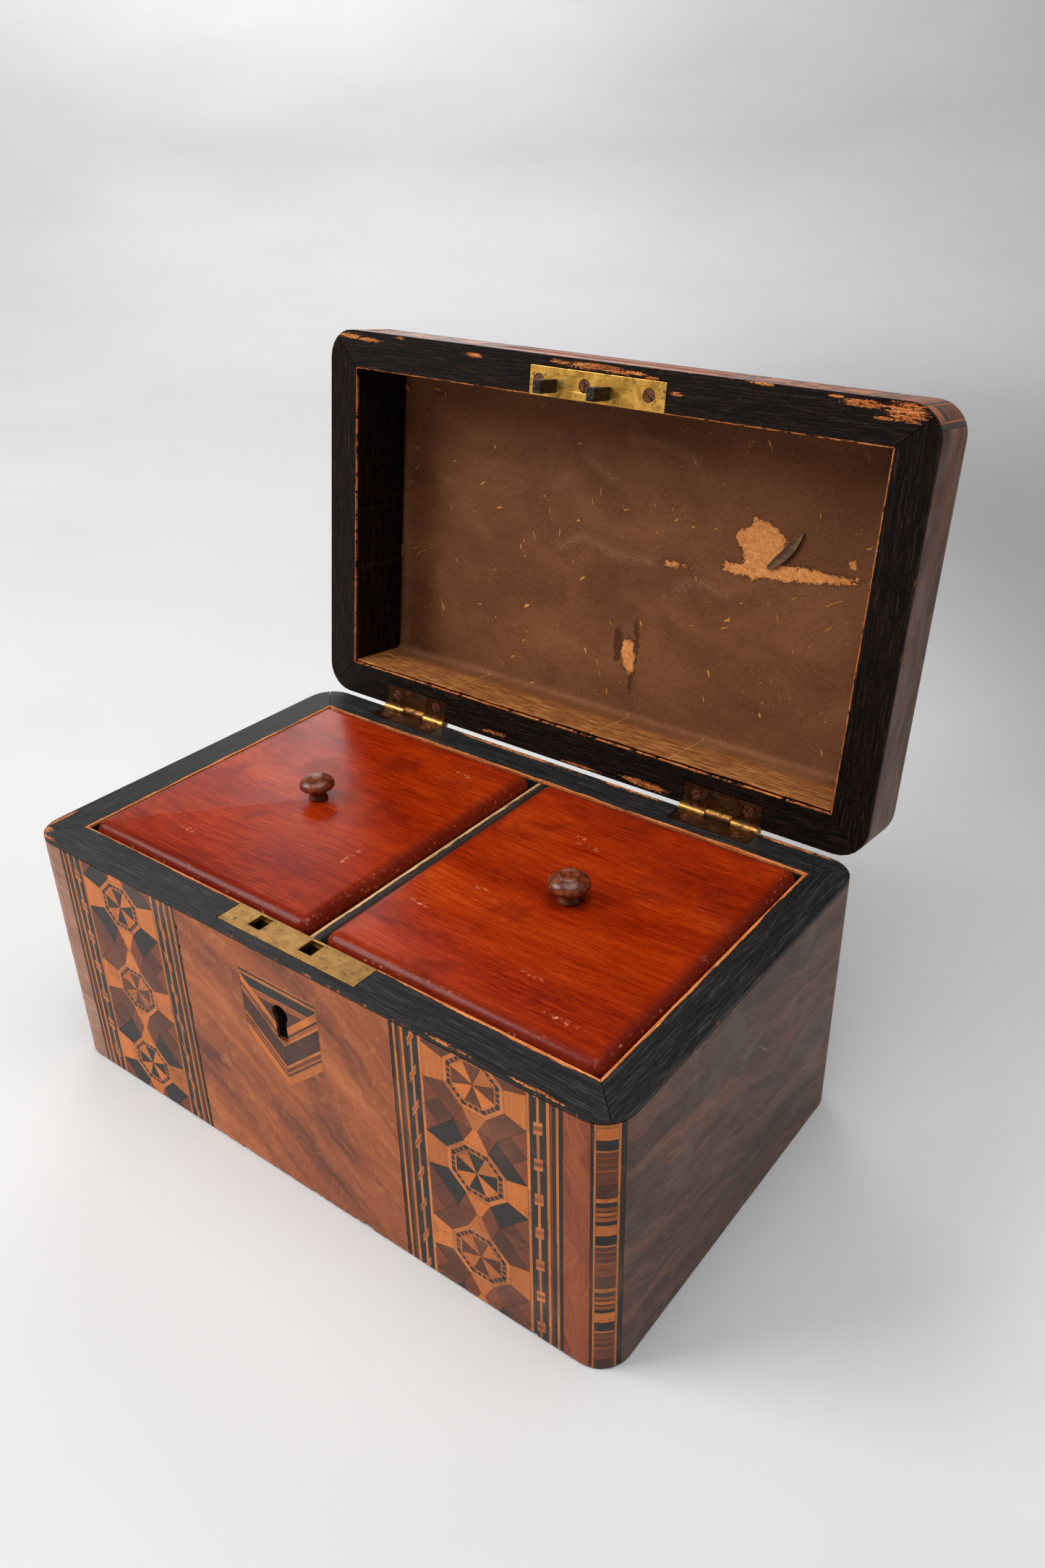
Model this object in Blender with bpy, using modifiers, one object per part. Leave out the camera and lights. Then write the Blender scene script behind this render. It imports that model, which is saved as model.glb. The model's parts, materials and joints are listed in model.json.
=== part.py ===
"""Rectangular walnut tea caddy with two lidded compartments and a hinged lid, standing open.

Metres, +Z up, +X to the right of someone facing the lock, +Y to the back. The origin is the
middle of the footprint, on the table. Everything is laid out with the lid shut. The lid's
pieces hang from an empty on the hinge axis, which is turned to the open stop at the end.
"""

import math

import bmesh
import bpy
from mathutils import Matrix, Vector

# Case
WIDTH = 0.2250
DEPTH = 0.1340
BASE_HEIGHT = 0.0885
LID_HEIGHT = 0.0300
WALL = 0.0126
CORNER = 0.0100
CORNER_STEPS = 6
BOTTOM_THICKNESS = 0.0070
RIM_LIP = 0.0010
VENEER = 0.0009
CORE_INSET = 0.0012
GAP = 0.0003
SEAM = 0.0001
MITRE_GAP = 0.0002
OPEN_ANGLE = math.radians(97.5)

# Inlay on the front: two upright bands, a shield at the lock and a banding round each corner
BAND_INNER = 0.0428
BAND_OUTER = 0.0977
BANDING_START = math.radians(18.0)
BANDING_END = math.radians(68.5)
SHIELD_X = -0.0005
SHIELD_HALF = 0.0155
SHIELD_TOP = 0.0785
SHIELD_SHOULDER = 0.0550
SHIELD_POINT = 0.0411

# Inside the base
DIVIDER_X = 0.0020
DIVIDER_THICKNESS = 0.0050
DIVIDER_TOP = 0.0880
LINER_THICKNESS = 0.0015
INNER_LID_THICKNESS = 0.0082
INNER_LID_PROUD = 0.0020
INNER_LID_ROUND = 0.0034
INNER_LID_PLAY = 0.0007
INNER_LID_WIDE_PLAY = 0.0013
KNOB_SIZES = {"left": 0.90, "right": 1.00}
DOWEL_RADIUS = 0.0018
DOWEL_LENGTH = 0.0050

# Hinges: butt hinges let into both rims, the middle knuckle on the base
HINGE_X = {"left": -0.0677, "right": 0.0633}
AXIS_Y = DEPTH / 2 + 0.0008
AXIS_Z = BASE_HEIGHT + GAP / 2
LEAF_LENGTH = 0.0286
LEAF_DEPTH = 0.0078
LEAF_THICKNESS = 0.0010
KNUCKLE_RADIUS = 0.0020
KNUCKLE_HALF = 0.0046
PIN_RADIUS = 0.00065
PIN_CLEARANCE = 0.00009
PIN_STEPS = 24
HINGE_SCREW_X = 0.0096
HINGE_SCREW_Y = DEPTH / 2 - 0.0046

# Lock in the front wall, link plate in the lid
LOCK_X = 0.0003
LOCK_PLATE_LENGTH = 0.0540
LINK_PLATE_LEFT = -0.0235
PLATE_DEPTH = 0.0091
PLATE_THICKNESS = 0.0012
HOOK_X = {"left": -0.0146, "right": 0.0058}
HOOK_Y = -0.0580
HOOK_WIDTH = 0.0036
HOOK_DEPTH = 0.0042
HOOK_LENGTH = 0.0088
HOOK_NOTCH = 0.0027
SLOT_WIDTH = 0.0050
SLOT_DEPTH = 0.0056
LINK_SCREW_X = (-0.0200, -0.0023, 0.0214)
LINK_SCREW_Y = -0.0590
CASE_HALF = 0.0245
CASE_BOTTOM = 0.0560
CASE_FRONT = -0.0617
CASE_BACK = -0.0547
CASE_WALL = 0.0008
KEYHOLE_Z = 0.0680
KEYHOLE_RADIUS = 0.0029
KEYHOLE_SLOT_HALF = 0.0021
KEYHOLE_BOTTOM = 0.0588
TUMBLER_X = 0.0180
TUMBLER_Z = 0.0795
STUD_RADIUS = 0.0009
STUD_CLEARANCE = 0.00008

HALF_W = WIDTH / 2
HALF_D = DEPTH / 2
INNER_W = HALF_W - WALL
INNER_D = HALF_D - WALL
RIM_Z = BASE_HEIGHT + GAP
LID_TOP = RIM_Z + LID_HEIGHT
BOARD_UNDERSIDE = RIM_Z + 0.0260
PAPER = 0.0004
INNER_LID_TOP = BASE_HEIGHT + INNER_LID_PROUD
INNER_LID_UNDERSIDE = INNER_LID_TOP - INNER_LID_THICKNESS
PAST = 0.0050  # how far a cutter reaches past what it cuts
FAR = 0.0200  # reach of a plan-view region beyond the case


# ---------------------------------------------------------------- scene and materials


def clear_scene():
    for obj in list(bpy.data.objects):
        bpy.data.objects.remove(obj, do_unlink=True)


def new_collection(name):
    collection = bpy.data.collections.new(name)
    bpy.context.scene.collection.children.link(collection)
    return collection


def principled(name, colour, roughness, metallic=0.0):
    material = bpy.data.materials.new(name)
    material.use_nodes = True
    shader = material.node_tree.nodes["Principled BSDF"]
    shader.inputs["Base Color"].default_value = (*colour, 1.0)
    shader.inputs["Roughness"].default_value = roughness
    shader.inputs["Metallic"].default_value = metallic
    material.diffuse_color = (*colour, 1.0)
    return material


# ---------------------------------------------------------------- shapes


def upright(a, b):
    return abs(a.z - b.z) > 1e-6


def level_at(z):
    return lambda a, b: abs(a.z - z) < 1e-6 and abs(b.z - z) < 1e-6


def block_mesh(low, high, radius=0.0, steps=1, wanted=upright):
    """A box from corner to corner, with the wanted edges rounded."""
    low, high = Vector(low), Vector(high)
    bm = bmesh.new()
    bmesh.ops.create_cube(bm, size=1.0)
    for vert in bm.verts:
        vert.co = [(low[i] + high[i]) / 2 + vert.co[i] * (high[i] - low[i]) for i in range(3)]
    if radius:
        edges = [edge for edge in bm.edges if wanted(*(vert.co for vert in edge.verts))]
        bmesh.ops.bevel(
            bm, geom=edges, offset=radius, segments=steps, profile=0.5, affect="EDGES"
        )
    return finished_mesh(bm)


def finished_mesh(bm):
    bmesh.ops.recalc_face_normals(bm, faces=bm.faces)
    mesh = bpy.data.meshes.new("shape")
    bm.to_mesh(mesh)
    bm.free()
    return mesh


def case_block(low_z, high_z, inset=0.0, rounded_top=False):
    """The rounded outline of the whole case, moved inwards by an inset."""
    edges = upright
    if rounded_top:
        def edges(a, b):
            return upright(a, b) or level_at(high_z)(a, b)
    return block_mesh(
        (inset - HALF_W, inset - HALF_D, low_z),
        (HALF_W - inset, HALF_D - inset, high_z),
        CORNER - inset,
        CORNER_STEPS,
        edges,
    )


def evaluated_mesh(obj):
    graph = bpy.context.evaluated_depsgraph_get()
    graph.update()
    return bpy.data.meshes.new_from_object(obj.evaluated_get(graph))


def outline_mesh(loops, thickness):
    """Closed outlines in the local XY plane, filled and thickened from z = 0 upwards."""
    curve = bpy.data.curves.new("outline", "CURVE")
    curve.dimensions = "2D"
    curve.fill_mode = "BOTH"
    curve.extrude = thickness / 2
    for loop in loops:
        spline = curve.splines.new("POLY")
        spline.points.add(len(loop) - 1)
        for point, (x, y) in zip(spline.points, loop):
            point.co = (x, y, 0.0, 1.0)
        spline.use_cyclic_u = True
    holder = bpy.data.objects.new("outline", curve)
    bpy.context.scene.collection.objects.link(holder)
    mesh = evaluated_mesh(holder)
    bpy.data.objects.remove(holder, do_unlink=True)
    bm = bmesh.new()
    bm.from_mesh(mesh)
    bmesh.ops.remove_doubles(bm, verts=bm.verts, dist=1e-6)
    bmesh.ops.translate(bm, verts=bm.verts, vec=(0, 0, thickness / 2))
    return finished_mesh(bm)


def cylinder_mesh(radius, length, steps=16):
    """A cylinder along X, centred on the origin."""
    bm = bmesh.new()
    bmesh.ops.create_cone(
        bm,
        cap_ends=True,
        segments=steps,
        radius1=radius,
        radius2=radius,
        depth=length,
        matrix=Matrix.Rotation(math.pi / 2, 4, "Y"),
    )
    return finished_mesh(bm)


def turned_mesh(profile, steps):
    """A closed solid of revolution: (radius, z) points down the outer side, from axis to axis."""
    bm = bmesh.new()
    verts = [bm.verts.new((radius, 0, z)) for radius, z in profile]
    for a, b in zip(verts, verts[1:]):
        bm.edges.new((a, b))
    mesh = bpy.data.meshes.new("profile")
    bm.to_mesh(mesh)
    bm.free()
    holder = bpy.data.objects.new("profile", mesh)
    bpy.context.scene.collection.objects.link(holder)
    screw = holder.modifiers.new("Screw", "SCREW")
    screw.steps = screw.render_steps = steps
    screw.use_merge_vertices = True
    screw.merge_threshold = 1e-6
    turned = evaluated_mesh(holder)
    bpy.data.objects.remove(holder, do_unlink=True)
    return turned


def arc(centre, radius, start, end, steps):
    """Points along an arc, with angles in degrees."""
    angles = [math.radians(start + (end - start) * i / steps) for i in range(steps + 1)]
    return [
        (centre[0] + radius * math.cos(a), centre[1] + radius * math.sin(a)) for a in angles
    ]


def side_to_side(y):
    """Places an outline drawn in X and Z so that it is thickened forwards from this y."""
    return Matrix(((1, 0, 0, 0), (0, 0, -1, y), (0, 1, 0, 0), (0, 0, 0, 1)))


def end_to_end(x):
    """Places an outline drawn in Y and Z so that it is thickened to the right from this x."""
    return Matrix(((0, 0, 1, x), (1, 0, 0, 0), (0, 1, 0, 0), (0, 0, 0, 1)))


# ---------------------------------------------------------------- objects


def add(group, name, mesh, material, place=None, parent=None):
    obj = bpy.data.objects.new(name, mesh)
    group.objects.link(obj)
    if material and not mesh.materials:
        mesh.materials.append(material)
    if place is not None:
        obj.matrix_world = place
    if parent is not None:
        hang(obj, parent)
    return obj


def hang(obj, parent):
    obj.parent = parent
    obj.matrix_parent_inverse = Matrix.Translation(-parent.location)


def joint_empty(group, name, location):
    empty = bpy.data.objects.new(name, None)
    empty.empty_display_size = 0.02
    empty.location = location
    group.objects.link(empty)
    return empty


def cutter(name, mesh, place=None, parent=None):
    obj = add(CUTTERS, name, mesh, None, place, parent)
    obj.hide_render = True
    obj.display_type = "WIRE"
    return obj


def boolean(obj, other, operation="DIFFERENCE"):
    modifier = obj.modifiers.new(other.name, "BOOLEAN")
    modifier.operation = operation
    modifier.solver = "EXACT"
    modifier.object = other


def smooth(obj, degrees=40):
    obj.data.shade_smooth()
    obj.data.set_sharp_from_angle(angle=math.radians(degrees))


# ---------------------------------------------------------------- plan-view regions


def region(name, points, parent=None):
    """An upright prism over a plan-view polygon, as high as the whole caddy."""
    place = Matrix.Translation((0, 0, -PAST))
    return cutter(name, outline_mesh([points], LID_TOP + 2 * PAST), place, parent)


def mitre_points(side):
    """One side's share of the plan, bounded by the 45 degree lines through the corners."""
    shift = MITRE_GAP / math.sqrt(2)
    reach_x, reach_y = HALF_W + PAST, HALF_D + PAST
    tip = HALF_W - HALF_D
    if side in ("front", "back"):
        flip = -1 if side == "front" else 1
        wide, narrow = reach_x - shift, tip - shift
        points = [(-wide, reach_y), (wide, reach_y), (narrow, 0), (-narrow, 0)]
        return [(x, flip * y) for x, y in points]
    flip = -1 if side == "left" else 1
    high = reach_y - shift
    return [(flip * reach_x, -high), (flip * reach_x, high), (flip * (tip + shift), 0)]


def corner_centre(right, back):
    return ((HALF_W - CORNER) * (1 if right else -1), (HALF_D - CORNER) * (1 if back else -1))


def ray(right, back, turn, reach=FAR):
    """A point out from a corner's centre, turned from straight ahead (or back) to the side."""
    x, y = corner_centre(right, back)
    across, along = (1 if right else -1), (1 if back else -1)
    return (x + across * reach * math.sin(turn), y + along * reach * math.cos(turn))


SEAM_TURN = SEAM / 2 / CORNER
QUARTER = math.radians(45)


def side_region_points(side):
    right = side == "right"
    return [
        corner_centre(right, False),
        ray(right, False, BANDING_END + SEAM_TURN),
        ray(right, True, QUARTER + SEAM_TURN),
        corner_centre(right, True),
    ]


def back_region_points():
    return [
        corner_centre(False, True),
        corner_centre(True, True),
        ray(True, True, QUARTER - SEAM_TURN),
        ray(False, True, QUARTER - SEAM_TURN),
    ]


def banding_region_points(right):
    return [
        corner_centre(right, False),
        ray(right, False, BANDING_START + SEAM_TURN),
        ray(right, False, BANDING_END - SEAM_TURN),
    ]


def front_strip_points(right):
    """From the outer edge of a band round to where the corner banding starts."""
    across = 1 if right else -1
    edge = BAND_OUTER + SEAM
    return [
        (across * edge, -HALF_D - PAST),
        (across * edge, CORNER - HALF_D),
        corner_centre(right, False),
        ray(right, False, BANDING_START - SEAM_TURN),
    ]


def lid_front_points():
    return [
        corner_centre(False, False),
        corner_centre(True, False),
        ray(True, False, BANDING_END - SEAM_TURN),
        (HALF_W + FAR, -HALF_D - PAST),
        (-HALF_W - FAR, -HALF_D - PAST),
        ray(False, False, BANDING_END - SEAM_TURN),
    ]


# ---------------------------------------------------------------- fittings cut into wood


def hinge_recess(x, low_z, high_z, parent=None):
    """Room for a leaf: its length and depth, open at the back and at the rim."""
    half = LEAF_LENGTH / 2 + GAP
    mesh = block_mesh((x - half, HALF_D - LEAF_DEPTH - GAP, low_z), (x + half, HALF_D + PAST, high_z))
    return cutter("leaf_recess", mesh, parent=parent)


def knuckle_clearance(x, parent=None):
    mesh = cylinder_mesh(KNUCKLE_RADIUS + GAP, LEAF_LENGTH + 2 * GAP, 20)
    return cutter("knuckle_clearance", mesh, Matrix.Translation((x, AXIS_Y, AXIS_Z)), parent)


SCREW_HEAD = 0.0020
SCREW_NECK = 0.0009
SCREW_CONE = 0.0009
SCREW_LENGTH = 0.0055


def screw_mesh():
    """A slotted countersunk wood screw, its head's top at z = 0 and its point down."""
    profile = [
        (0, 0),
        (SCREW_HEAD, 0),
        (SCREW_HEAD, -0.0002),
        (SCREW_NECK, -SCREW_CONE),
        (SCREW_NECK, -SCREW_LENGTH + 0.0015),
        (0, -SCREW_LENGTH),
    ]
    screw = add(CUTTERS, "screw", turned_mesh(profile, 14), None)
    slot = cutter("screw_slot", block_mesh((-0.003, -0.00022, -0.00045), (0.003, 0.00022, 0.001)))
    boolean(screw, slot)
    mesh = evaluated_mesh(screw)
    bpy.data.objects.remove(screw, do_unlink=True)
    bpy.data.objects.remove(slot, do_unlink=True)
    mesh.shade_smooth()
    mesh.set_sharp_from_angle(angle=math.radians(35))
    return mesh


def screw_hole_mesh():
    """The countersink and pilot hole that a screw sits in, with clearance all round."""
    room = 0.0002
    return turned_mesh(
        [
            (0, PAST),
            (SCREW_HEAD + room, PAST),
            (SCREW_HEAD + room, -0.0002 - room),
            (SCREW_NECK + room, -SCREW_CONE - room),
            (SCREW_NECK + room, -SCREW_LENGTH - room),
            (0, -SCREW_LENGTH - room),
        ],
        14,
    )


def fit_screws(prefix, spots, up, material, parent, through):
    """Screws at (x, y, z, turn), with holes in everything that they pass through."""
    for number, (x, y, z, turn) in enumerate(spots, 1):
        place = Matrix.Translation((x, y, z)) @ Matrix.Rotation(0 if up else math.pi, 4, "X")
        hole = cutter("screw_hole", SCREW_HOLE, place, parent)
        for obj in through:
            boolean(obj, hole)
        spin = Matrix.Rotation(math.radians(turn), 4, "Z")
        add(PARTS, f"{prefix}_{number}", SCREW, material, place @ spin, parent)


# ---------------------------------------------------------------- base


def make_base_walls():
    """Four mitred boards, set back behind the veneer but full width at the ebonised rim."""
    outer = case_block(0, BASE_HEIGHT)
    cavity = cutter(
        "base_cavity",
        block_mesh((-INNER_W, -INNER_D, -PAST), (INNER_W, INNER_D, BASE_HEIGHT + PAST)),
    )
    core = cutter("base_core", case_block(-2 * PAST, BASE_HEIGHT + PAST, CORE_INSET))
    pocket = cutter(
        "base_veneer_pocket",
        block_mesh(
            (-HALF_W - PAST, -HALF_D - PAST, -PAST),
            (HALF_W + PAST, HALF_D + PAST, BASE_HEIGHT - RIM_LIP),
        ),
    )
    boolean(pocket, core)
    walls = {}
    for side in ("front", "back", "left", "right"):
        wall = add(PARTS, f"base_wall_{side}", outer, EBONISED)
        boolean(wall, cavity)
        boolean(wall, pocket)
        boolean(wall, region(f"base_mitre_{side}", mitre_points(side)), "INTERSECT")
        walls[side] = wall
    return walls


def make_bottom_board():
    mesh = block_mesh(
        (GAP - INNER_W, GAP - INNER_D, 0), (INNER_W - GAP, INNER_D - GAP, BOTTOM_THICKNESS)
    )
    add(PARTS, "bottom_board", mesh, PINE)


def make_divider():
    """An upright partition with a rounded top edge."""
    half = DIVIDER_THICKNESS / 2

    def top_long(a, b):
        return level_at(DIVIDER_TOP)(a, b) and abs(a.y - b.y) > half

    mesh = block_mesh(
        (DIVIDER_X - half, GAP - INNER_D, BOTTOM_THICKNESS + GAP),
        (DIVIDER_X + half, INNER_D - 3 * GAP, DIVIDER_TOP),
        half - 0.0001,
        5,
        top_long,
    )
    smooth(add(PARTS, "divider", mesh, EBONISED))


def compartment(side):
    """The x range between an outer wall and the divider."""
    half = DIVIDER_THICKNESS / 2
    if side == "left":
        return -INNER_W, DIVIDER_X - half
    return DIVIDER_X + half, INNER_W


def make_liner(side):
    """Four thin boards against the compartment's sides. The inner lid rests on their edge."""
    left, right = compartment(side)
    low = (left + GAP, GAP - INNER_D, BOTTOM_THICKNESS + GAP)
    high = (right - GAP, INNER_D - GAP, INNER_LID_UNDERSIDE - GAP)
    liner = add(PARTS, f"liner_{side}", block_mesh(low, high), FOIL)
    thin = LINER_THICKNESS
    hollow = block_mesh(
        (low[0] + thin, low[1] + thin, low[2] - PAST),
        (high[0] - thin, high[1] - thin, high[2] + PAST),
    )
    boolean(liner, cutter(f"liner_{side}_hollow", hollow))


def make_base_veneers():
    """Side and back veneers, the plain ground of the front, and the inlaid bands."""
    low, high = 0.0005, BASE_HEIGHT - RIM_LIP - GAP
    skin = case_block(low, high)
    behind = cutter("base_skin_back", case_block(-PAST, BASE_HEIGHT, VENEER))
    regions = {
        "veneer_left": (side_region_points("left"), WALNUT_DARK),
        "veneer_right": (side_region_points("right"), WALNUT_DARK),
        "veneer_back": (back_region_points(), WALNUT_DARK),
        "veneer_front_left": (front_strip_points(False), WALNUT),
        "veneer_front_right": (front_strip_points(True), WALNUT),
        "corner_banding_left": (banding_region_points(False), SATINWOOD),
        "corner_banding_right": (banding_region_points(True), SATINWOOD),
    }
    made = {}
    for name, (points, material) in regions.items():
        made[name] = add(PARTS, name, skin.copy(), material)
        boolean(made[name], behind)
        boolean(made[name], region(f"{name}_region", points), "INTERSECT")
        smooth(made[name])
    face, back = -HALF_D, VENEER - HALF_D
    for side, across in (("left", -1), ("right", 1)):
        ends = sorted((across * BAND_INNER, across * BAND_OUTER))
        mesh = block_mesh((ends[0], face, low), (ends[1], back, high))
        add(PARTS, f"marquetry_band_{side}", mesh, SATINWOOD)
    edge = BAND_INNER - SEAM
    ground = add(
        PARTS, "veneer_front", block_mesh((-edge, face, low), (edge, back, high)), WALNUT
    )
    made["veneer_front"] = ground
    return made


def shield_points(grow=0.0):
    """A flat-topped shield with a point below, grown outwards on every side."""
    half = SHIELD_HALF + grow
    slope = (SHIELD_SHOULDER - SHIELD_POINT) / SHIELD_HALF
    drop = grow * math.sqrt(1 + slope * slope)
    shoulder = SHIELD_POINT - drop + slope * half
    return [
        (SHIELD_X - half, SHIELD_TOP + grow),
        (SHIELD_X - half, shoulder),
        (SHIELD_X, SHIELD_POINT - drop),
        (SHIELD_X + half, shoulder),
        (SHIELD_X + half, SHIELD_TOP + grow),
    ]


def keyhole_points(grow=0.0):
    """A round top with a straight slot below."""
    radius, half = KEYHOLE_RADIUS + grow, KEYHOLE_SLOT_HALF + grow
    meet = math.degrees(math.asin(half / radius))
    centre = (SHIELD_X, KEYHOLE_Z)
    return arc(centre, radius, meet - 90, 270 - meet, 14) + [
        (SHIELD_X - half, KEYHOLE_BOTTOM - grow),
        (SHIELD_X + half, KEYHOLE_BOTTOM - grow),
    ]


def make_shield(ground, wall):
    """The shield inlay at the lock, and the keyhole through everything in front of the lock."""
    add(
        PARTS,
        "shield_inlay",
        outline_mesh([shield_points(), keyhole_points()], VENEER),
        ROSEWOOD,
        side_to_side(VENEER - HALF_D),
    )
    seat = cutter(
        "shield_seat",
        outline_mesh([shield_points(SEAM)], VENEER + 2 * PAST),
        side_to_side(VENEER - HALF_D + PAST),
    )
    boolean(ground, seat)
    depth = WALL + PAST
    keyhole = cutter(
        "keyhole", outline_mesh([keyhole_points(SEAM)], depth), side_to_side(depth - PAST - HALF_D)
    )
    boolean(wall, keyhole)
    return keyhole


# ---------------------------------------------------------------- lock


def make_lock(wall, keyhole):
    plate_front = -INNER_D - PLATE_DEPTH
    half = LOCK_PLATE_LENGTH / 2
    plate = add(
        PARTS,
        "lock_plate",
        block_mesh(
            (LOCK_X - half, plate_front, BASE_HEIGHT - PLATE_THICKNESS),
            (LOCK_X + half, -INNER_D, BASE_HEIGHT),
        ),
        BRASS,
    )
    for side, x in HOOK_X.items():
        slot = block_mesh(
            (x - SLOT_WIDTH / 2, HOOK_Y - SLOT_DEPTH / 2, BASE_HEIGHT - PAST),
            (x + SLOT_WIDTH / 2, HOOK_Y + SLOT_DEPTH / 2, BASE_HEIGHT + PAST),
        )
        boolean(plate, cutter(f"plate_slot_{side}", slot))
    seats = {
        "plate_seat": (
            (LOCK_X - half - GAP, plate_front - GAP, BASE_HEIGHT - PLATE_THICKNESS - GAP),
            (LOCK_X + half + GAP, PAST - INNER_D, BASE_HEIGHT + PAST),
        ),
        "case_seat": (
            (-CASE_HALF - GAP, CASE_FRONT - GAP, CASE_BOTTOM - GAP),
            (CASE_HALF + GAP, PAST - INNER_D, BASE_HEIGHT),
        ),
    }
    for name, corners in seats.items():
        boolean(wall, cutter(name, block_mesh(*corners)))
    make_lock_case(keyhole)
    make_lock_bolt()
    make_tumbler()


def make_lock_case(keyhole):
    """A case open at the top, under the plate, with a stud for the tumbler."""
    top = BASE_HEIGHT - PLATE_THICKNESS - GAP
    case = add(
        PARTS,
        "lock_case",
        block_mesh((-CASE_HALF, CASE_FRONT, CASE_BOTTOM), (CASE_HALF, CASE_BACK, top)),
        BRASS,
    )
    wall = CASE_WALL
    inside = block_mesh(
        (wall - CASE_HALF, CASE_FRONT + wall, CASE_BOTTOM + wall),
        (CASE_HALF - wall, CASE_BACK - wall, top + PAST),
    )
    boolean(case, cutter("case_inside", inside))
    boolean(case, keyhole)
    stud = cylinder_mesh(STUD_RADIUS, CASE_BACK - CASE_FRONT - wall, PIN_STEPS)
    turn = Matrix.Rotation(math.pi / 2, 4, "Z")
    middle = (TUMBLER_X, (CASE_FRONT + CASE_BACK) / 2, TUMBLER_Z)
    boolean(case, cutter("tumbler_stud", stud, Matrix.Translation(middle) @ turn), "UNION")


def make_lock_bolt():
    """A bar with two posts, whose fingers slide sideways into the notches of the hooks."""
    bar_low, bar_high = 0.0715, 0.0755
    finger_low, finger_high = 0.0818, 0.0836
    loop = [(-0.0222, bar_low), (0.0130, bar_low), (0.0130, bar_high)]
    for x in sorted(HOOK_X.values(), reverse=True):
        tip = x - HOOK_WIDTH / 2 - 2 * GAP
        post_right = tip - 0.0030
        post_left = post_right - 0.0022
        loop += [
            (post_right, bar_high),
            (post_right, finger_low),
            (tip, finger_low),
            (tip, finger_high),
            (post_left, finger_high),
        ]
        if post_left > -0.0200:
            loop.append((post_left, bar_high))
    loop[-1] = (-0.0222, finger_high)
    add(
        PARTS, "lock_bolt", outline_mesh([loop], 0.0036), STEEL, side_to_side(HOOK_Y + 0.0018)
    )


def make_tumbler():
    """A lever on the stud, whose stump hovers over the bolt's bar."""
    hub = 0.0021
    outline = arc((0, 0), hub, 150, -150, 12) + [
        (-0.0060, -0.0010),
        (-0.0062, -0.0037),
        (-0.0078, -0.0037),
        (-0.0080, 0.0010),
    ]
    step = 360 / PIN_STEPS
    bore = arc((0, 0), STUD_RADIUS + STUD_CLEARANCE, 0, 360 - step, PIN_STEPS - 1)
    mesh = outline_mesh([outline, bore], 0.0018)
    place = Matrix.Translation((TUMBLER_X, 0, TUMBLER_Z)) @ side_to_side(HOOK_Y + 0.0009)
    smooth(add(PARTS, "lock_tumbler", mesh, STEEL, place))


# ---------------------------------------------------------------- hinges


def hinge_leaf(name, x, low_z, knuckles, parent=None):
    """A leaf with its knuckles: a plate, a neck and a rolled barrel, all bored for the pin."""
    half = LEAF_LENGTH / 2
    plate_end = AXIS_Y - KNUCKLE_RADIUS - GAP
    high_z = low_z + LEAF_THICKNESS
    leaf = add(
        PARTS,
        name,
        block_mesh((x - half, HALF_D - LEAF_DEPTH, low_z), (x + half, plate_end, high_z)),
        BRASS,
        parent=parent,
    )
    for low_x, high_x in knuckles:
        neck = block_mesh(
            (x + low_x, plate_end - GAP, low_z), (x + high_x, AXIS_Y - PIN_RADIUS, high_z)
        )
        boolean(leaf, cutter("hinge_neck", neck, parent=parent), "UNION")
        barrel = cylinder_mesh(KNUCKLE_RADIUS, high_x - low_x, 20)
        place = Matrix.Translation((x + (low_x + high_x) / 2, AXIS_Y, AXIS_Z))
        boolean(leaf, cutter("hinge_barrel", barrel, place, parent), "UNION")
    bore = cylinder_mesh(PIN_RADIUS + PIN_CLEARANCE, 2 * LEAF_LENGTH, PIN_STEPS)
    place = Matrix.Translation((x, AXIS_Y, AXIS_Z))
    boolean(leaf, cutter("pin_bore", bore, place, parent))
    smooth(leaf)
    return leaf


def make_hinges(base_woods, lid_woods, lid_axis):
    half = LEAF_LENGTH / 2
    middle = [(-KNUCKLE_HALF, KNUCKLE_HALF)]
    outside = KNUCKLE_HALF + GAP
    ends = [(-half, -outside), (outside, half)]
    base_low = BASE_HEIGHT - LEAF_THICKNESS
    turns = {"left": (12, -35), "right": (70, 20)}
    for side, x in HINGE_X.items():
        recess = hinge_recess(x, base_low - GAP, BASE_HEIGHT + PAST)
        clearance = knuckle_clearance(x)
        for wood in base_woods:
            boolean(wood, clearance)
        boolean(base_woods[0], recess)
        leaf = hinge_leaf(f"base_hinge_leaf_{side}", x, base_low, middle)
        spots = [
            (x + s * HINGE_SCREW_X, HINGE_SCREW_Y, BASE_HEIGHT, turn)
            for s, turn in zip((-1, 1), turns[side])
        ]
        prefix = f"base_hinge_screw_{side}"
        fit_screws(prefix, spots, True, RUSTY_STEEL, None, [leaf, base_woods[0]])

        recess = hinge_recess(x, RIM_Z - PAST, RIM_Z + LEAF_THICKNESS + GAP, lid_axis)
        clearance = knuckle_clearance(x, lid_axis)
        for wood in lid_woods:
            boolean(wood, clearance)
        boolean(lid_woods[0], recess)
        leaf = hinge_leaf(f"lid_hinge_leaf_{side}", x, RIM_Z, ends, lid_axis)
        spots = [(x, y, RIM_Z, turn - 40) for x, y, _, turn in spots]
        prefix = f"lid_hinge_screw_{side}"
        fit_screws(prefix, spots, False, RUSTY_STEEL, lid_axis, [leaf, lid_woods[0]])
        pin = cylinder_mesh(PIN_RADIUS, LEAF_LENGTH, PIN_STEPS)
        place = Matrix.Translation((x, AXIS_Y, AXIS_Z))
        smooth(add(PARTS, f"hinge_pin_{side}", pin, STEEL, place))


# ---------------------------------------------------------------- lid


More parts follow.
